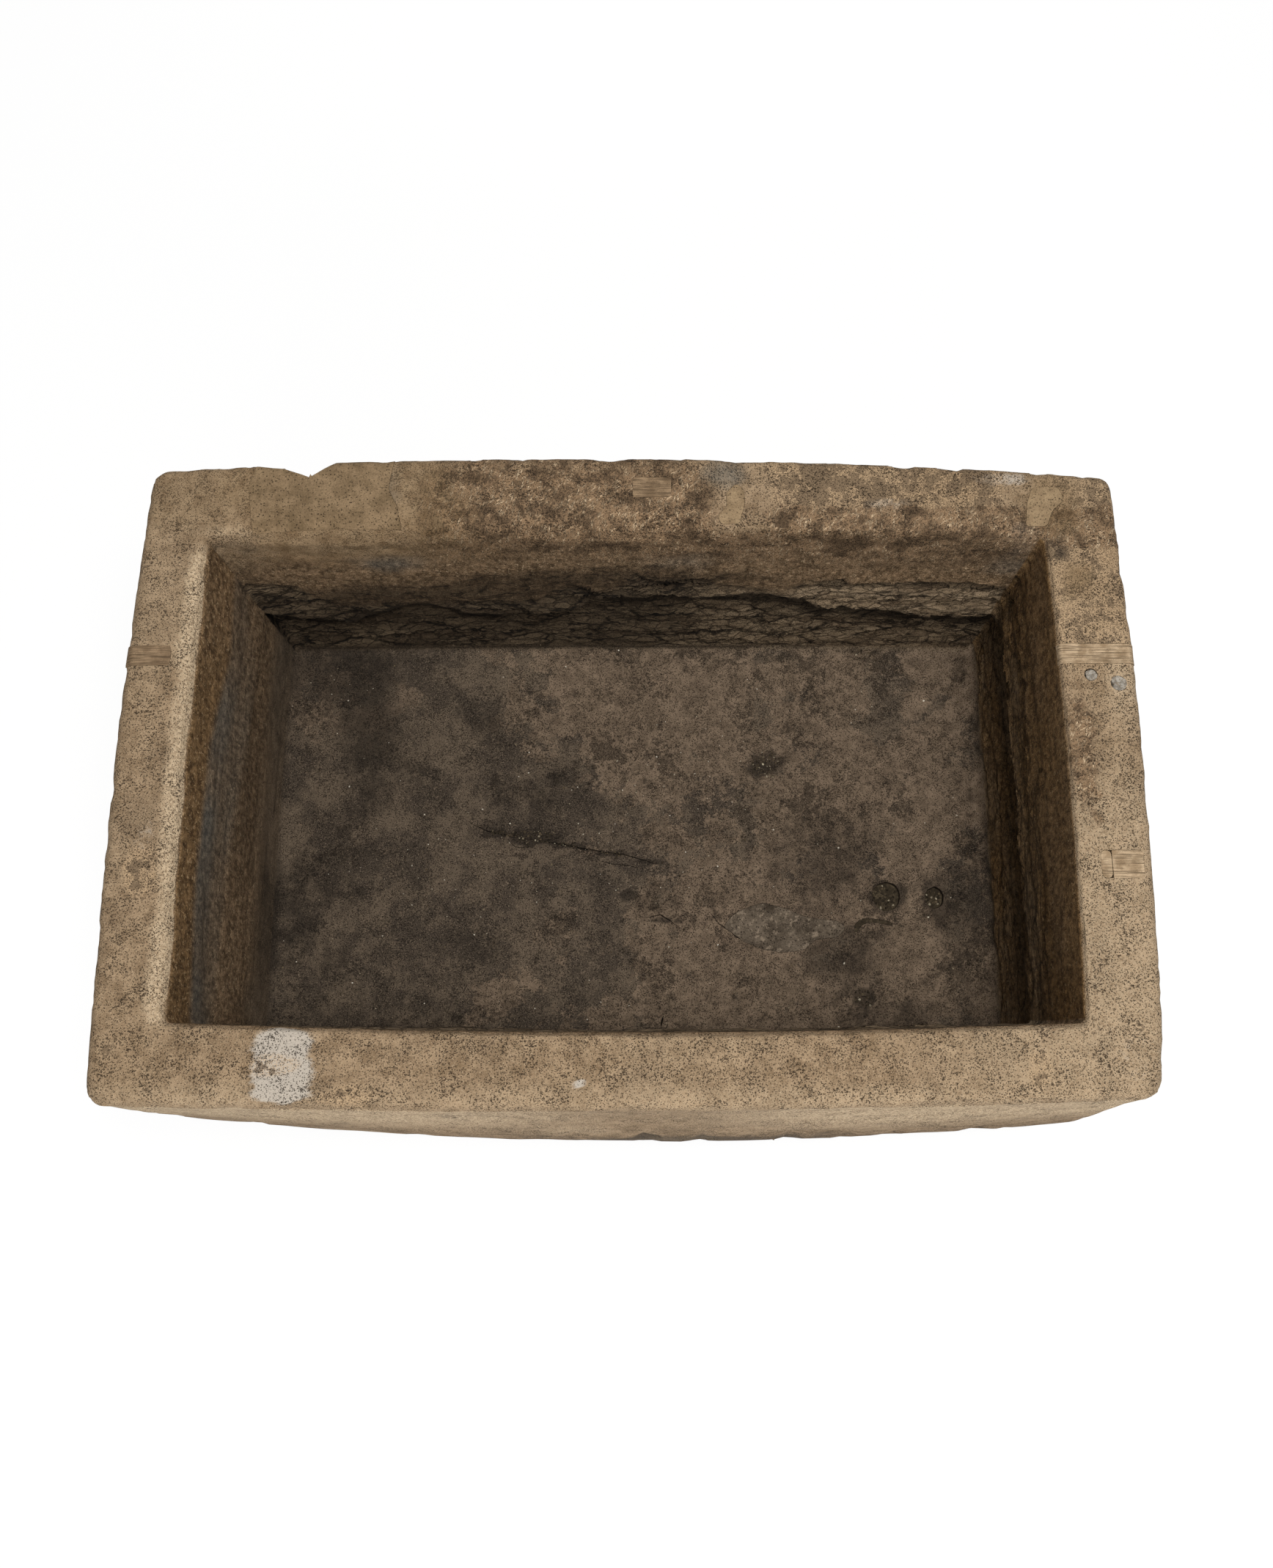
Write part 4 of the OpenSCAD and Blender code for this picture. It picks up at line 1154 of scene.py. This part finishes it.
def paint_block(mesh, skin_points, facts):
    """Zones, stains and wear of the block, and its painted shade and highlights, from where each
    point lies.
    """
    p, sunk, known = carry(mesh, skin_points, facts)
    zone, depth, side, relief = (known[key] for key in ("zone", "depth", "side", "relief"))
    x, y, z = p.T
    right, back, left = (side == k for k in (1, 2, 3))
    outer, rim, wall, floor = ((zone == k).astype(float) for k in range(4))
    foot = np.where(back, 0.010, 0.024)
    floor = most(
        floor, wall * smooth(depth, BASIN_DEPTH - foot, BASIN_DEPTH - 0.4 * foot),
        0.75 * wall * left * smooth(depth + 12 * MM * drift(p, 0.05, 92), 0.225, 0.30))
    wall = wall - np.minimum(wall, floor)
    rolled = most(
        wall * back * (1 - smooth(depth + 14 * MM * drift(p, 0.028, 84), 0.050, 0.095)),
        wall * left * (1 - smooth(depth + 8 * MM * drift(p, 0.02, 85), 0.004, 0.016)))
    rim, wall = rim + rolled, wall - rolled
    paint(mesh, "zone", [rim, wall, floor])

    on_front, on_right = rim * (y < -0.26), rim * (x > 0.47)
    on_back, on_left = rim * (y > 0.26), rim * (x < -0.47)
    band = line(pairs(-280, 70, -100, 62, 50, 72, 170, 105, 270, 90), y)
    on_band = (1 - smooth(depth, band - 0.01, band + 0.02)) * (0.75 - 0.35 * smooth(y, 0.08, 0.22))
    ochre = most(
        rim * spots(p, 0.35, 0.4, 1, (-330, 320, 140, 90, 850)),
        rim * spots(p, 0.5, 0.5, 25, (-470, 335, 110, 60, 600)),
        rim * spots(p, 0.5, 0.4, 2, (483, 315, 34, 36, 800)),
        rim * spots(p, 0.6, 0.4, 2, (507, 221, 16, 20, 900)),
        wall * right * (0.6 + 0.4 * smooth(drift(p, (0.1, 0.1, 0.04), 80), -0.3, 0.5)),
        wall * left * on_band,
        wall * back * (x < -0.2) * (1 - smooth(depth, 0.03, 0.09)) * 0.35)

    low = line(pairs(-280, 150, -100, 165, 50, 190, 170, 215, 270, 150), y)
    left_film = smooth(depth, band - 0.004, band + 0.018)
    left_film = left_film * (1 - 0.5 * smooth(depth, band + 0.045, band + 0.075))
    left_film = left_film * (1 - smooth(depth, low - 0.02, low + 0.01))
    left_film = left_film * (0.80 + 0.5 * drift(p, (0.05, 0.05, 0.03), 81))
    blue = most(
        wall * back * 0.75 * blot(p, (-0.287, 0.27, 0.350), (0.040, 0.05, 0.026), 0.7, 0.5, 3),
        wall * back * 0.75 * blot(p, (0.064, 0.27, 0.372), (0.044, 0.05, 0.036), 0.7, 0.5, 4),
        wall * back * 0.6 * blot(p, (0.456, 0.27, 0.365), (0.030, 0.06, 0.036), 0.7, 0.5, 5),
        wall * left * left_film * (1 - 0.60 * smooth(y, 0.06, 0.20)),
        rim * spots(p, 0.6, 0.4, 6, (110, 352, 22, 16, 700)),
        rim * spots(p, 0.6, 0.5, 14, (-285, 330, 18, 30, 350)))

    ledge = ledge_depths_at(side, x, y)
    below = smooth(depth, ledge - 4 * MM, ledge + 6 * MM)
    # Painted shade over the back wall's left and middle, below an onset line; bright is the back
    # wall's right part, where that painted shade is lifted.
    bright = back * smooth(x + 0.07 * drift(p, (0.05, 0.05, 0.03), 89), 0.02, 0.26)
    onset = line(pairs(-480, 120, -360, 118, -200, 92, -30, 66, 120, 70, 300, 90), x)
    past_onset = smooth(depth - onset + 16 * MM * drift(p, 0.04, 86), 0.0, 0.048)
    grey_film = (1 - smooth(x, -0.42, 0.10)) * (0.36 + 0.5 * drift(p, 0.08, 82))
    damp_and_shade = most(
        floor * grey_film * (1 - 0.7 * smooth(-y, 0.17, 0.24)),
        floor * spots(
            p, 0.7, 0.5, 21, (250, -35, 75, 85, 550), (300, 10, 60, 35, 450),
            (-405, -60, 60, 50, 500), (277, -160, 65, 65, 550), (417, -95, 45, 70, 550),
            (355, -235, 70, 30, 500), (-130, 60, 60, 45, 500), (-385, -160, 30, 22, 600),
            (40, -85, 40, 30, 400)),
        floor * spots(p, 0.6, 0.5, 15, (302, -240, 50, 45, 500)),
        floor * spots(p, 0.6, 0.5, 16, (430, -150, 35, 110, 450)),
        floor * smooth(y, 0.215, 0.262) * 0.20,
        # Painted shade below the ledge of the front and back walls, and over the back wall's left
        # and middle below the onset.
        wall * (side % 2 == 0) * (0.10 + 0.45 * below),
        back * (wall + 0.8 * rolled) * (1 - bright) * 0.80 * past_onset)
    front_face = outer * smooth(-y, 0.30, 0.35)
    left_end = 1 - smooth(x + 0.02 * drift(p, 0.03, 96), -0.465, -0.400)
    low_front = 1 - smooth(z + 0.02 * drift(p, (0.2, 0.2, 0.02), 93), 0.12, 0.28)
    damp_and_shade = most(
        # The painted shade lifted over the back wall's right part, and painted shade in its left
        # corner.
        damp_and_shade * (1 - 0.85 * bright * wall * (1 - 0.45 * below)),
        back * (wall + rolled) * left_end * smooth(depth, 0.006, 0.030) * 0.42,
        wall * right * (0.08 + 0.25 * smooth(depth, 0.06, 0.12)) * (1 - 0.5 * below),
        # Painted shadow under the right wall's ledge.
        wall * right * 0.55 * below * (1 - smooth(depth - ledge, 0.06, 0.12)),
        wall * left * smooth(y, -0.16, 0.0) * smooth(depth, 0.14, 0.20) * 0.28,
        # Darker in the floor's hollows, cracks, drain hole and pit.
        floor * spots(p, 0.7, 0.5, 19, (184, 103, 26, 20, 800)),
        floor * spots(
            p, 0.6, 0.6, 23, (-128, 0, 30, 11, 1000), (-180, 6, 20, 4, 1000),
            (-80, -11, 24, 4, 1000), (-22, -21.5, 26, 4, 1000), (26, -32.5, 20, 4, 1000),
            (45, -110, 22, 4, 1000), (303, -211, 16, 12, 1000), (-4, -79, 12, 9, 1000),
            (337, -79, 22, 22, 1000), (400, -81, 18, 18, 1000)),
        outer * (1 - smooth(z, 0.0, 0.05)) * 0.5,
        outer * smooth(drift(p, (0.16, 0.16, 0.10), 94), 0.1, 0.8) * 0.30,
        # Painted shade of the hollow low on the front face, darkest near its middle.
        outer * blot(p, (0.025, -0.39, 0.120), (0.085, 0.05, 0.055), 0.7, 0.6, 7),
        front_face * low_front * (0.32 + 0.42 * hump(x, 0.08, 0.17)),
        rim * spots(p, 0.5, 0.4, 8, (485, 258, 20, 20, 500)))
    paint(mesh, "stain", [ochre, blue, damp_and_shade])

    front_edge = rim * smooth(-y, 0.330, 0.350) * (0.6 + 0.4 * smooth(x, 0.0, 0.30))
    left_edge = 1 - smooth(y + 10 * MM * drift(p, 0.02, 87), 0.235, 0.270)
    left_edge = rim * smooth(x + 5 * MM * drift(p, 0.02, 88), -0.507, -0.494) * (
        x < -0.47) * left_edge * smooth(y, -0.285, -0.268)
    back_corner = rim * spots(p, 0.6, 0.5, 22, (-455, 280, 36, 6, 500))
    rubbed = 0.12 * rim * smooth(drift(p, 0.09, 83), 0.0, 0.6)
    wear_and_highlight = most(
        0.38 * front_edge + 0.85 * most(left_edge, back_corner) + rubbed,
        on_right * (1 - smooth(y, -0.06, 0.06)) * 0.38,
        on_right * smooth(np.abs(y - 0.10), 0.10, 0.0) * smooth(x, 0.520, 0.540) * 0.5,
        on_front * smooth(x, 0.25, 0.42) * 0.30,
        outer * smooth(drift(p, (0.13, 0.13, 0.09), 95), 0.1, 0.8) * 0.5,
        # Painted highlight on the upper front face, least in its middle.
        front_face * smooth(z, 0.17, 0.34) * (1.15 - 0.95 * hump(x, 0.02, 0.15)),
        # The floor lighter to the right and back, and painted light along its front edge, under the
        # front wall.
        floor * (0.9 * smooth(x, -0.32, 0.16) + 0.5 * smooth(y, 0.0, 0.2)
                 + 0.55 * smooth(-y, 0.16, 0.25)))
    split_top = np.where(back, line(BACK_SPLIT, x), 0.12)
    split = wall * smooth(depth, split_top - 0.01, split_top + 0.015) * ~left
    # The painted shadow under the main ledge: the overhang hides the first 48 mm under it, so the
    # painted dark line reaches further down.
    past = depth - ledge + 3 * MM * drift(p, 0.018, 90)
    reach = line(pairs(-480, 48, -50, 49, 60, 50, 120, 60, 220, 62, 320, 57, 480, 54), x)
    shade = 0.45 * smooth(x, 0.06, 0.14) * (1 - smooth(past, reach, reach + 0.024))
    under = most(1 - smooth(past, reach - 0.003, reach + 0.004), shade)
    strength = line(pairs(-480, 900, -190, 800, -140, 350, -60, 250, -30, 850, 480, 950), x)
    under = back * smooth(past, -0.003, 0.001) * under * strength
    # Painted shadow under the lesser ledges, and a painted dark groove under the right wall's
    # ledge.
    for ends, delta, above, lies_back, _, _ in lesser_ledges(p, depth):
        hidden = (above + lies_back) * 2.0 * MM * ends
        mark = smooth(delta, -0.002, 0.001) * (1 - smooth(delta, hidden, hidden + 0.006))
        under = most(under, back * (np.abs(x) < BACK_HALF) * ends * mark * 0.52)
    under = under + hump(depth - ledge, 4 * MM, 5 * MM) * right * 0.9
    # Painted shade along the foot of the back wall, where it meets the floor.
    foot_shadow_line = 1 - 0.7 * smooth(x + 0.3 * drift(p, 0.05, 91), 0.0, 0.2)
    # Painted shade in creases, under the ledges, in low relief of the walls, and in sunk beds,
    # holes and cracks of the rim and floor.
    crevice_shade = most(
        known["crease"],
        0.35 * smooth(-relief, 2.5 * MM, 9 * MM) * wall,
        wall * under,
        0.95 * foot_shadow_line * hump(depth, 0.3338, 2.3 * MM) * back,
        rim * smooth(sunk, 0.8 * MM, 4 * MM) * 0.6,
        floor * smooth(sunk, 0.5 * MM, 2 * MM) * 0.9)
    paint(mesh, "surface", [wear_and_highlight, split, crevice_shade])

    back_right = on_back * smooth(x, 0.13, 0.20) * (1 - smooth(x, 0.40, 0.46))
    back_middle = on_back * smooth(x, -0.26, -0.2) * (1 - smooth(x, 0.05, 0.12))
    crust = most(
        back_right * (0.34 + 0.30 * smooth(y, 0.295, 0.33)),
        back_middle * smooth(y, 0.30, 0.345) * 0.70,
        on_right * smooth(y, 0.02, 0.20) * 0.48,
        0.12 * (on_left + on_front * (x < 0.25)) + 0.20 * on_right,
        rim * spots(
            p, 0.7, 0.4, 17, (-366, -318, 26, 12, 550), (-289, -349, 30, 10, 550),
            (490, 312, 30, 30, 550), (529, 185, 25, 30, 550), (-521, -117, 20, 30, 550),
            (423, -323, 12, 20, 550)))
    back_middle = on_back * smooth(x, -0.27, -0.21) * (1 - smooth(x, 0.06, 0.13))
    flecked = most(
        back_middle * (1 - 0.5 * smooth(y, 0.34, 0.36)),
        on_back * smooth(x, 0.1, 0.2) * (1 - smooth(y, 0.300, 0.325)) * 0.8,
        left_edge * 0.25,
        (wall + rolled) * back * smooth(x, -0.30, -0.2) * (1 - smooth(depth, 0.05, 0.13)) * 0.9,
        wall * left * (1 - smooth(depth, 0.06, 0.12)) * 0.85,
        rim * spots(p, 0.6, 0.4, 18, (495, 10, 20, 80, 600)))
    lime = rim * spots(
        p, 0.35, 0.3, 9, (-358, -300, 31, 22, 1000), (-356, -326, 34, 22, 1000),
        (-357, -345, 30, 12, 900), (429, 346, 36, 10, 450), (296, 312, 30, 10, 500),
        (-50, -337, 8, 4, 900), (-520, -80, 14, 20, 300), (530, -310, 30, 30, 260),
        (453, 281, 20, 12, 700))
    paint(mesh, "bloom", [crust, flecked, lime])


# ---- Pieces -------------------------------------------------------------------------------

def shown(mesh, name, material, slot, node=None, sharp=40):
    """A finished piece: smooth but for its sharp edges, with its finish, on the block's body."""
    mesh.materials.clear()
    mesh.materials.append(material)
    mesh.shade_smooth()
    mesh.set_sharp_from_angle(angle=math.radians(sharp))
    piece = put(mesh, name)
    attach(piece, "root")
    if node:
        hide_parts(node)


class PieceTree(NodeWork):
    """A Geometry Nodes tree with named inputs, which grows a plain mesh of one material."""

    def __init__(self, name, inputs):
        self.tree = bpy.data.node_groups.new(name, "GeometryNodeTree")
        kinds = {float: "NodeSocketFloat", int: "NodeSocketInt", tuple: "NodeSocketVector"}
        new_socket = self.tree.interface.new_socket
        for way in ("INPUT", "OUTPUT"):
            new_socket("Geometry", in_out=way, socket_type="NodeSocketGeometry")
        self.identifiers = {}
        for label, value in inputs.items():
            socket = new_socket(label, in_out="INPUT", socket_type=kinds[type(value)])
            socket.default_value = value
            self.identifiers[label] = socket.identifier
        self.entry = self.tree.nodes.new("NodeGroupInput")

    def given(self, label):
        """One of the tree's inputs."""
        return Signal(self, self.entry.outputs[label])

    def close(self, geometry, material):
        """Ends the tree: real instances, all of one material."""
        real = self.add("GeometryNodeRealizeInstances", {}, [geometry])
        last = self.add("GeometryNodeSetMaterial", {}, {"Geometry": real, "Material": material})
        self.tree.links.new(last.socket, self.tree.nodes.new("NodeGroupOutput").inputs[0])
        return self

    def grown(self, base_mesh, values, name):
        """The plain mesh that the tree makes from a base mesh and its named inputs."""
        thing = put(base_mesh, name + "_base")
        modifier = thing.modifiers.new(self.tree.name, "NODES")
        modifier.node_group = self.tree
        for label, value in values.items():
            modifier[self.identifiers[label]] = value
        result = evaluated(thing)
        thing.modifiers.clear()
        bpy.data.objects.remove(thing)
        result.name = name
        return result


def combed_slab(material):
    """A slab of mortar with lines combed along X in its top."""
    t = PieceTree("combed_slab", {
        "Length": 0.1, "Width": 0.024, "Depth": 0.009, "Pitch": 0.0024, "Comb Depth": 0.0008,
        "Middle": (0.0, 0.0, 0.0), "Rows": 60, "Columns": 40})
    size = t.add("ShaderNodeCombineXYZ", {}, [t.given(k) for k in ("Length", "Width", "Depth")])
    slab = t.add("GeometryNodeMeshCube", {}, [size, t.given("Columns"), t.given("Rows"), 2])
    place = t.add("GeometryNodeInputPosition", {}, {})
    y, z = (t.add("ShaderNodeSeparateXYZ", {}, [place], axis) for axis in "YZ")
    stretched = t.vector_maths("MULTIPLY", place, (1, 3, 0))
    wobble = t.add("ShaderNodeTexNoise", {}, {"Vector": stretched, "Scale": 28.0, "Detail": 2.0})
    grit = t.add("ShaderNodeTexNoise", {}, {"Vector": place, "Scale": 420.0, "Detail": 2.0})
    turns = t.maths("MULTIPLY_ADD", wobble, 0.0022, y) / t.given("Pitch")
    ridge = t.maths("PINGPONG", t.maths("FRACT", turns), 0.5)
    drop = t.maths("MULTIPLY_ADD", grit, 0.5, ridge) * t.given("Comb Depth") - t.given("Comb Depth")
    above = {"data_type": "FLOAT", "operation": "GREATER_THAN"}
    combed = t.add("GeometryNodeSetPosition", {}, {
        "Geometry": slab, "Selection": t.add("FunctionNodeCompare", above, [z, 0.0]),
        "Offset": t.add("ShaderNodeCombineXYZ", {}, {"Z": drop})})
    middle = t.given("Middle")
    return t.close(
        t.add("GeometryNodeTransform", {}, {"Geometry": combed, "Translation": middle}), material)


def strewn_gravel(material):
    """Angular grains of gravel strewn over a face."""
    t = PieceTree("strewn_gravel", {
        "Spacing": 0.003, "Crowding": 90000.0, "Smallest": 0.001, "Largest": 0.0026, "Seed": 3})

    def chance(kind, low, high, seed):
        first, output = (0, 0) if kind == "FLOAT_VECTOR" else (2, 1)
        inputs = {first: low, first + 1: high, "Seed": seed}
        return t.add("FunctionNodeRandomValue", {"data_type": kind}, inputs, output)

    points = t.add("GeometryNodeDistributePointsOnFaces", {"distribute_method": "POISSON"}, {
        "Mesh": t.given("Geometry"), "Distance Min": t.given("Spacing"),
        "Density Max": t.given("Crowding"), "Seed": t.given("Seed")})
    ball = t.add("GeometryNodeMeshIcoSphere", {}, {"Radius": 1.0, "Subdivisions": 1})
    dents = t.add("ShaderNodeTexNoise", {}, {"Scale": 1.3, "Detail": 1.0}, "Color")
    dent = t.vector_maths("MULTIPLY_ADD", dents, (0.9, 0.9, 0.9), (-0.45, -0.45, -0.45))
    grain = t.add("GeometryNodeSetPosition", {}, {"Geometry": ball, "Offset": dent})
    length = chance("FLOAT", t.given("Smallest"), t.given("Largest"), 2)
    flat = chance("FLOAT_VECTOR", (0.7, 0.7, 0.5), (1.3, 1.1, 0.9), 4)
    size = t.add("ShaderNodeVectorMath", {"operation": "SCALE"}, {0: flat, "Scale": length})
    strewn = t.add("GeometryNodeInstanceOnPoints", {}, {
        "Points": points, "Instance": grain, "Scale": size,
        "Rotation": chance("FLOAT_VECTOR", (0, 0, 0), (6.28, 6.28, 6.28), 1)})
    each_grain = {"data_type": "FLOAT", "domain": "INSTANCE"}
    shaded = t.add("GeometryNodeStoreNamedAttribute", each_grain, {
        "Geometry": strewn, "Name": "grain_shade", "Value": chance("FLOAT", 0.0, 1.0, 5)})
    return t.close(shaded, material)


def lead_plug(name, x, y, radius):
    """A plug of cast lead: a straight shank in its dowel hole and a hammered, crowned head."""
    rings = []
    angle = circle(36)
    for r, z in ((0.97, -0.045), (1.0, -0.044), (1.0, -0.0016), (0.96, -0.0006),
                 (0.85, -0.0003), (0.7, -0.0002), (0.45, -0.0002), (0.2, -0.0003)):
        plan = [x + radius * r * np.cos(angle), y + radius * r * np.sin(angle)]
        ring = raised(np.stack(plan, -1), HEIGHT + z)
        if z > -0.002:
            ring[:, :2] += (ring[:, :2] - (x, y)) * (0.50 * rough(ring, 0.011, 90, 3))[:, None]
            ring[:, 2] -= 0.35 * MM * (0.6 + rough(ring, 0.004, 91, 2)).clip(0)
        rings.append(ring)
    return closed_rings(name, rings)


def mortar_in(name, bed, foot, top):
    """Mortar in a bed, a joint narrower, with its face from the worn skin."""
    block = prism(name, ragged_plan(*bed, JOINT), foot, top)
    return carved(soft_skin, [block], "INTERSECT")


def near_floor(name, mesh, patches):
    """A plain copy of those faces of a mesh that lie on the floor, inside ragged patches given as
    x, y, half length and half width in millimetres."""
    middles = np.array([face.center for face in mesh.polygons], float)
    inside = spots(middles, 0.4, 0.5, 24, *((*patch, 1000) for patch in patches)) > 0.5
    inside &= np.abs(middles[:, 2] - FLOOR) < 0.012
    index, faces = {}, []
    for k in np.flatnonzero(inside):
        faces.append([index.setdefault(v, len(index)) for v in mesh.polygons[int(k)].vertices])
    return new_mesh(name, [tuple(mesh.vertices[v].co) for v in index], faces)


stone = trough_stone()
skin, skin_points, skin_facts = skin_mesh("skin")
trough = cut_block(skin)
paint_block(trough, skin_points, skin_facts)
shown(trough, "trough_block_hewn", stone, "trough_stone", "trough_block", 55)

soft_skin = skin_mesh("soft_skin", 0.75)[0]
ochre_finish = plain_mortar("ochre_mortar", srgb(138, 116, 89), srgb(104, 86, 63))
cream_finish = plain_mortar("cream_mortar", srgb(150, 128, 99), srgb(116, 96, 72))
grey_finish = plain_mortar("grey_mortar", srgb(118, 105, 90), srgb(62, 53, 43), 0.55)
gravel_finish = gravel_mortar()
comb_finish = combed_mortar("combed_mortar", srgb(184, 161, 132), srgb(140, 118, 92))
worn_comb_finish = combed_mortar("worn_combed_mortar", srgb(144, 121, 95), srgb(112, 92, 70))
grain_finish = gravel_grains()
grit_finish = pale_grit()
lead_finish = lead()

# The ochre mortars of the back rim. The first is chipped with the stone round it.
for name, finish, chips in (
        ("back_rim_notch_mortar", ochre_finish, breaks()[:3]),
        ("back_rim_middle_mortar", cream_finish, []), ("back_rim_corner_mortar", cream_finish, [])):
    piece = mortar_in(name, RIM_BEDS[name], HEIGHT - BED_DEPTH, HEIGHT + 0.015)
    if chips:
        piece = carved(piece, chips)
    shown(piece, name + "_laid", finish, "ochre_mortar", name)

# The combed slabs: length and width in millimetres, and how far to the right of the bed's middle.
comb = combed_slab(comb_finish)
for name, size, aside, finish in (
        ("right_rim_combed_mortar", (100, 24), 0.0, comb_finish),
        ("left_rim_combed_mortar", (60, 24), 0.0, worn_comb_finish),
        ("back_rim_combed_mortar", (45, 26), 0.0, worn_comb_finish),
        ("right_rim_squared_mortar", (34, 31), 6 * MM, comb_finish)):
    x, y = RIM_BEDS[name][1]
    length, width = (s * MM - 2 * JOINT for s in size)
    slab = comb.grown(bpy.data.meshes.new("empty"), {
        "Length": length, "Width": width, "Depth": BED_DEPTH, "Pitch": 2.4 * MM,
        "Comb Depth": 0.8 * MM, "Middle": (x + aside, y, HEIGHT - BED_DEPTH / 2 - 0.35 * MM),
        "Rows": int(size[1] * 2.5), "Columns": int(size[0] * 0.45)}, name)
    slab = carved(slab, [soft_skin.copy()], "INTERSECT")
    shown(slab, name + "_laid", finish, "combed_mortar", name, 60)

slip_bed = (rectangle(12, 31), (RIGHT_SQUARE_AT[0] - 0.017, RIGHT_SQUARE_AT[1]), 0.3 * MM)
slip = mortar_in("slip", slip_bed, HEIGHT - BED_DEPTH, HEIGHT - 0.9 * MM)
shown(slip, "right_rim_slip_mortar_laid", comb_finish, "combed_mortar")

for name, finish, slot in (
        ("floor_mortar_patch", grey_finish, "grey_mortar"),
        ("floor_seam_mortar", gravel_finish, "gravel_mortar")):
    piece = mortar_in(name, FLOOR_BEDS[name], FLOOR - FLOOR_BED_DEPTH, FLOOR + 0.012)
    shown(piece, name + "_laid", finish, slot, name)

# The gravelly mortar of the drain hole and the pit, with its grains.
gravel = strewn_gravel(grain_finish)
for name, (at, _, radius, roundness), foot, top, seed in (
        ("drain_hole_mortar", DRAIN, 0.006, FLOOR - 0.0085, 3),
        ("floor_pit_mortar", PIT, FLOOR - 0.0128, FLOOR - 0.0068, 8)):
    plan = disc_plan(at, radius, *roundness)
    shown(prism(name, plan, foot, top), name + "_packed", gravel_finish, "gravel_mortar", name)
    face = raised(plan * 0.86 + np.array(at) * 0.14, top)
    grains = gravel.grown(new_mesh(name, face.tolist(), [range(len(face))]), {
        "Spacing": 2.6 * MM, "Crowding": 150000.0, "Smallest": 1.1 * MM, "Largest": 2.6 * MM,
        "Seed": seed}, name + "_grains")
    shown(grains, name + "_grains", grain_finish, "gravel_mortar", None, 30)

# Loose gravel and grit on the floor: where it lies, its finish, spacing in millimetres, crowding,
# smallest and largest grain in millimetres, and seed.
for name, patches, finish, spacing, crowding, smallest, largest, seed in (
        ("crack_gravel",
         ((-128, 0, 28, 10), (-170, 6, 14, 4), (-80, -10, 18, 4), (-20, -22, 20, 3)),
         grain_finish, 2.2, 160000.0, 0.8, 2.2, 11),
        ("hollow_gravel",
         ((184, 103, 20, 16), (303, -211, 12, 10), (322, 258, 12, 8), (155, -2, 10, 6)),
         grain_finish, 2.3, 140000.0, 0.8, 2.1, 12),
        ("crowded_grit",
         ((-200, -50, 110, 55), (-340, -20, 50, 50), (-400, 200, 60, 40), (50, 60, 120, 120)),
         grit_finish, 7.0, 2600.0, 0.4, 1.3, 13),
        ("sparse_grit", ((0, 0, 750, 420),), grit_finish, 14.0, 700.0, 0.35, 1.6, 14)):
    strewn = gravel.grown(near_floor(name, trough, patches), {
        "Spacing": spacing * MM, "Crowding": crowding, "Smallest": smallest * MM,
        "Largest": largest * MM, "Seed": seed}, name)
    shown(strewn, name, finish, "gravel_mortar", None, 30)

for name, plug in PLUGS.items():
    shown(lead_plug(name, *plug), name + "_cast", lead_finish, "lead", name, 60)

for mesh in (skin, soft_skin):
    bpy.data.meshes.remove(mesh)


# ---- Floor, light and camera ---------------------------------------------------------------

def studio():
    """A pale floor that reads as white but keeps the trough's shadow, under an even sky."""
    f = Finish("pale_floor")
    pale = f.add("ShaderNodeBsdfDiffuse", {}, {"Color": (0.82, 0.82, 0.82)})
    glow = f.add("ShaderNodeEmission", {}, {"Color": (1.0, 1.0, 1.0), "Strength": 1.04})
    mixed = f.add("ShaderNodeMixShader", {}, [f.seen() * 0.85, pale, glow])
    f.add("ShaderNodeOutputMaterial", {}, {"Surface": mixed})
    corners = [(x * 9.0, y * 9.0, 0) for x, y in ((-1, -1), (1, -1), (1, 1), (-1, 1))]
    ground = new_mesh("studio_floor", corners, [(0, 1, 2, 3)])
    ground.materials.append(f.material)
    floor = put(ground)
    floor.location.z = -0.5 * MM

    world = bpy.data.worlds.new("even_sky")
    bpy.context.scene.world = world
    sky = Finish("even_sky", world)
    dim = sky.add("ShaderNodeBackground", {}, {"Color": (0.96, 0.98, 1.0), "Strength": 0.30})
    white = sky.add("ShaderNodeBackground", {}, {"Color": (1.0, 1.0, 1.0)})
    mixed = sky.add("ShaderNodeMixShader", {}, [sky.seen(), dim, white])
    sky.add("ShaderNodeOutputWorld", {}, {"Surface": mixed})


def lamp(name, at, target, size, power):
    """A broad lamp that faces a target."""
    data = bpy.data.lights.new(name, "AREA")
    data.shape, data.size, data.size_y, data.energy = "RECTANGLE", *size, power
    data.color = (1.0, 0.985, 0.96)
    thing = put(data)
    thing.location = at
    thing.rotation_euler = (Vector(target) - Vector(at)).to_track_quat("-Z", "Y").to_euler()


def photograph_camera():
    """The camera, where the photograph was taken from: turned, tilted and rolled by degrees."""
    data = bpy.data.cameras.new("photograph_camera")
    data.sensor_fit, data.sensor_height = "VERTICAL", 36.0
    data.lens = 1850 / 2138 * 36
    data.clip_end = 60
    matrix = Matrix.Translation((0.0073, -0.4044, 1.8385))
    for degrees, axis in ((-0.15, "Z"), (90 - 74.805, "X"), (0.178, "Z")):
        matrix = matrix @ Matrix.Rotation(math.radians(degrees), 4, axis)
    camera = put(data)
    camera.matrix_world = matrix
    bpy.context.scene.camera = camera


studio()
lamp("overhead_lamp", (0.42, -0.40, 3.3), (0, 0, 0.3), (1.5, 1.2), 78)
lamp("front_lamp", (0.10, -2.60, 1.70), (0, 0.2, 0.3), (1.8, 1.0), 38)
lamp("back_lamp", (0.0, 2.70, 1.50), (0, 0, 0.2), (1.8, 1.0), 15)
photograph_camera()
bpy.context.scene.view_settings.view_transform = "Standard"
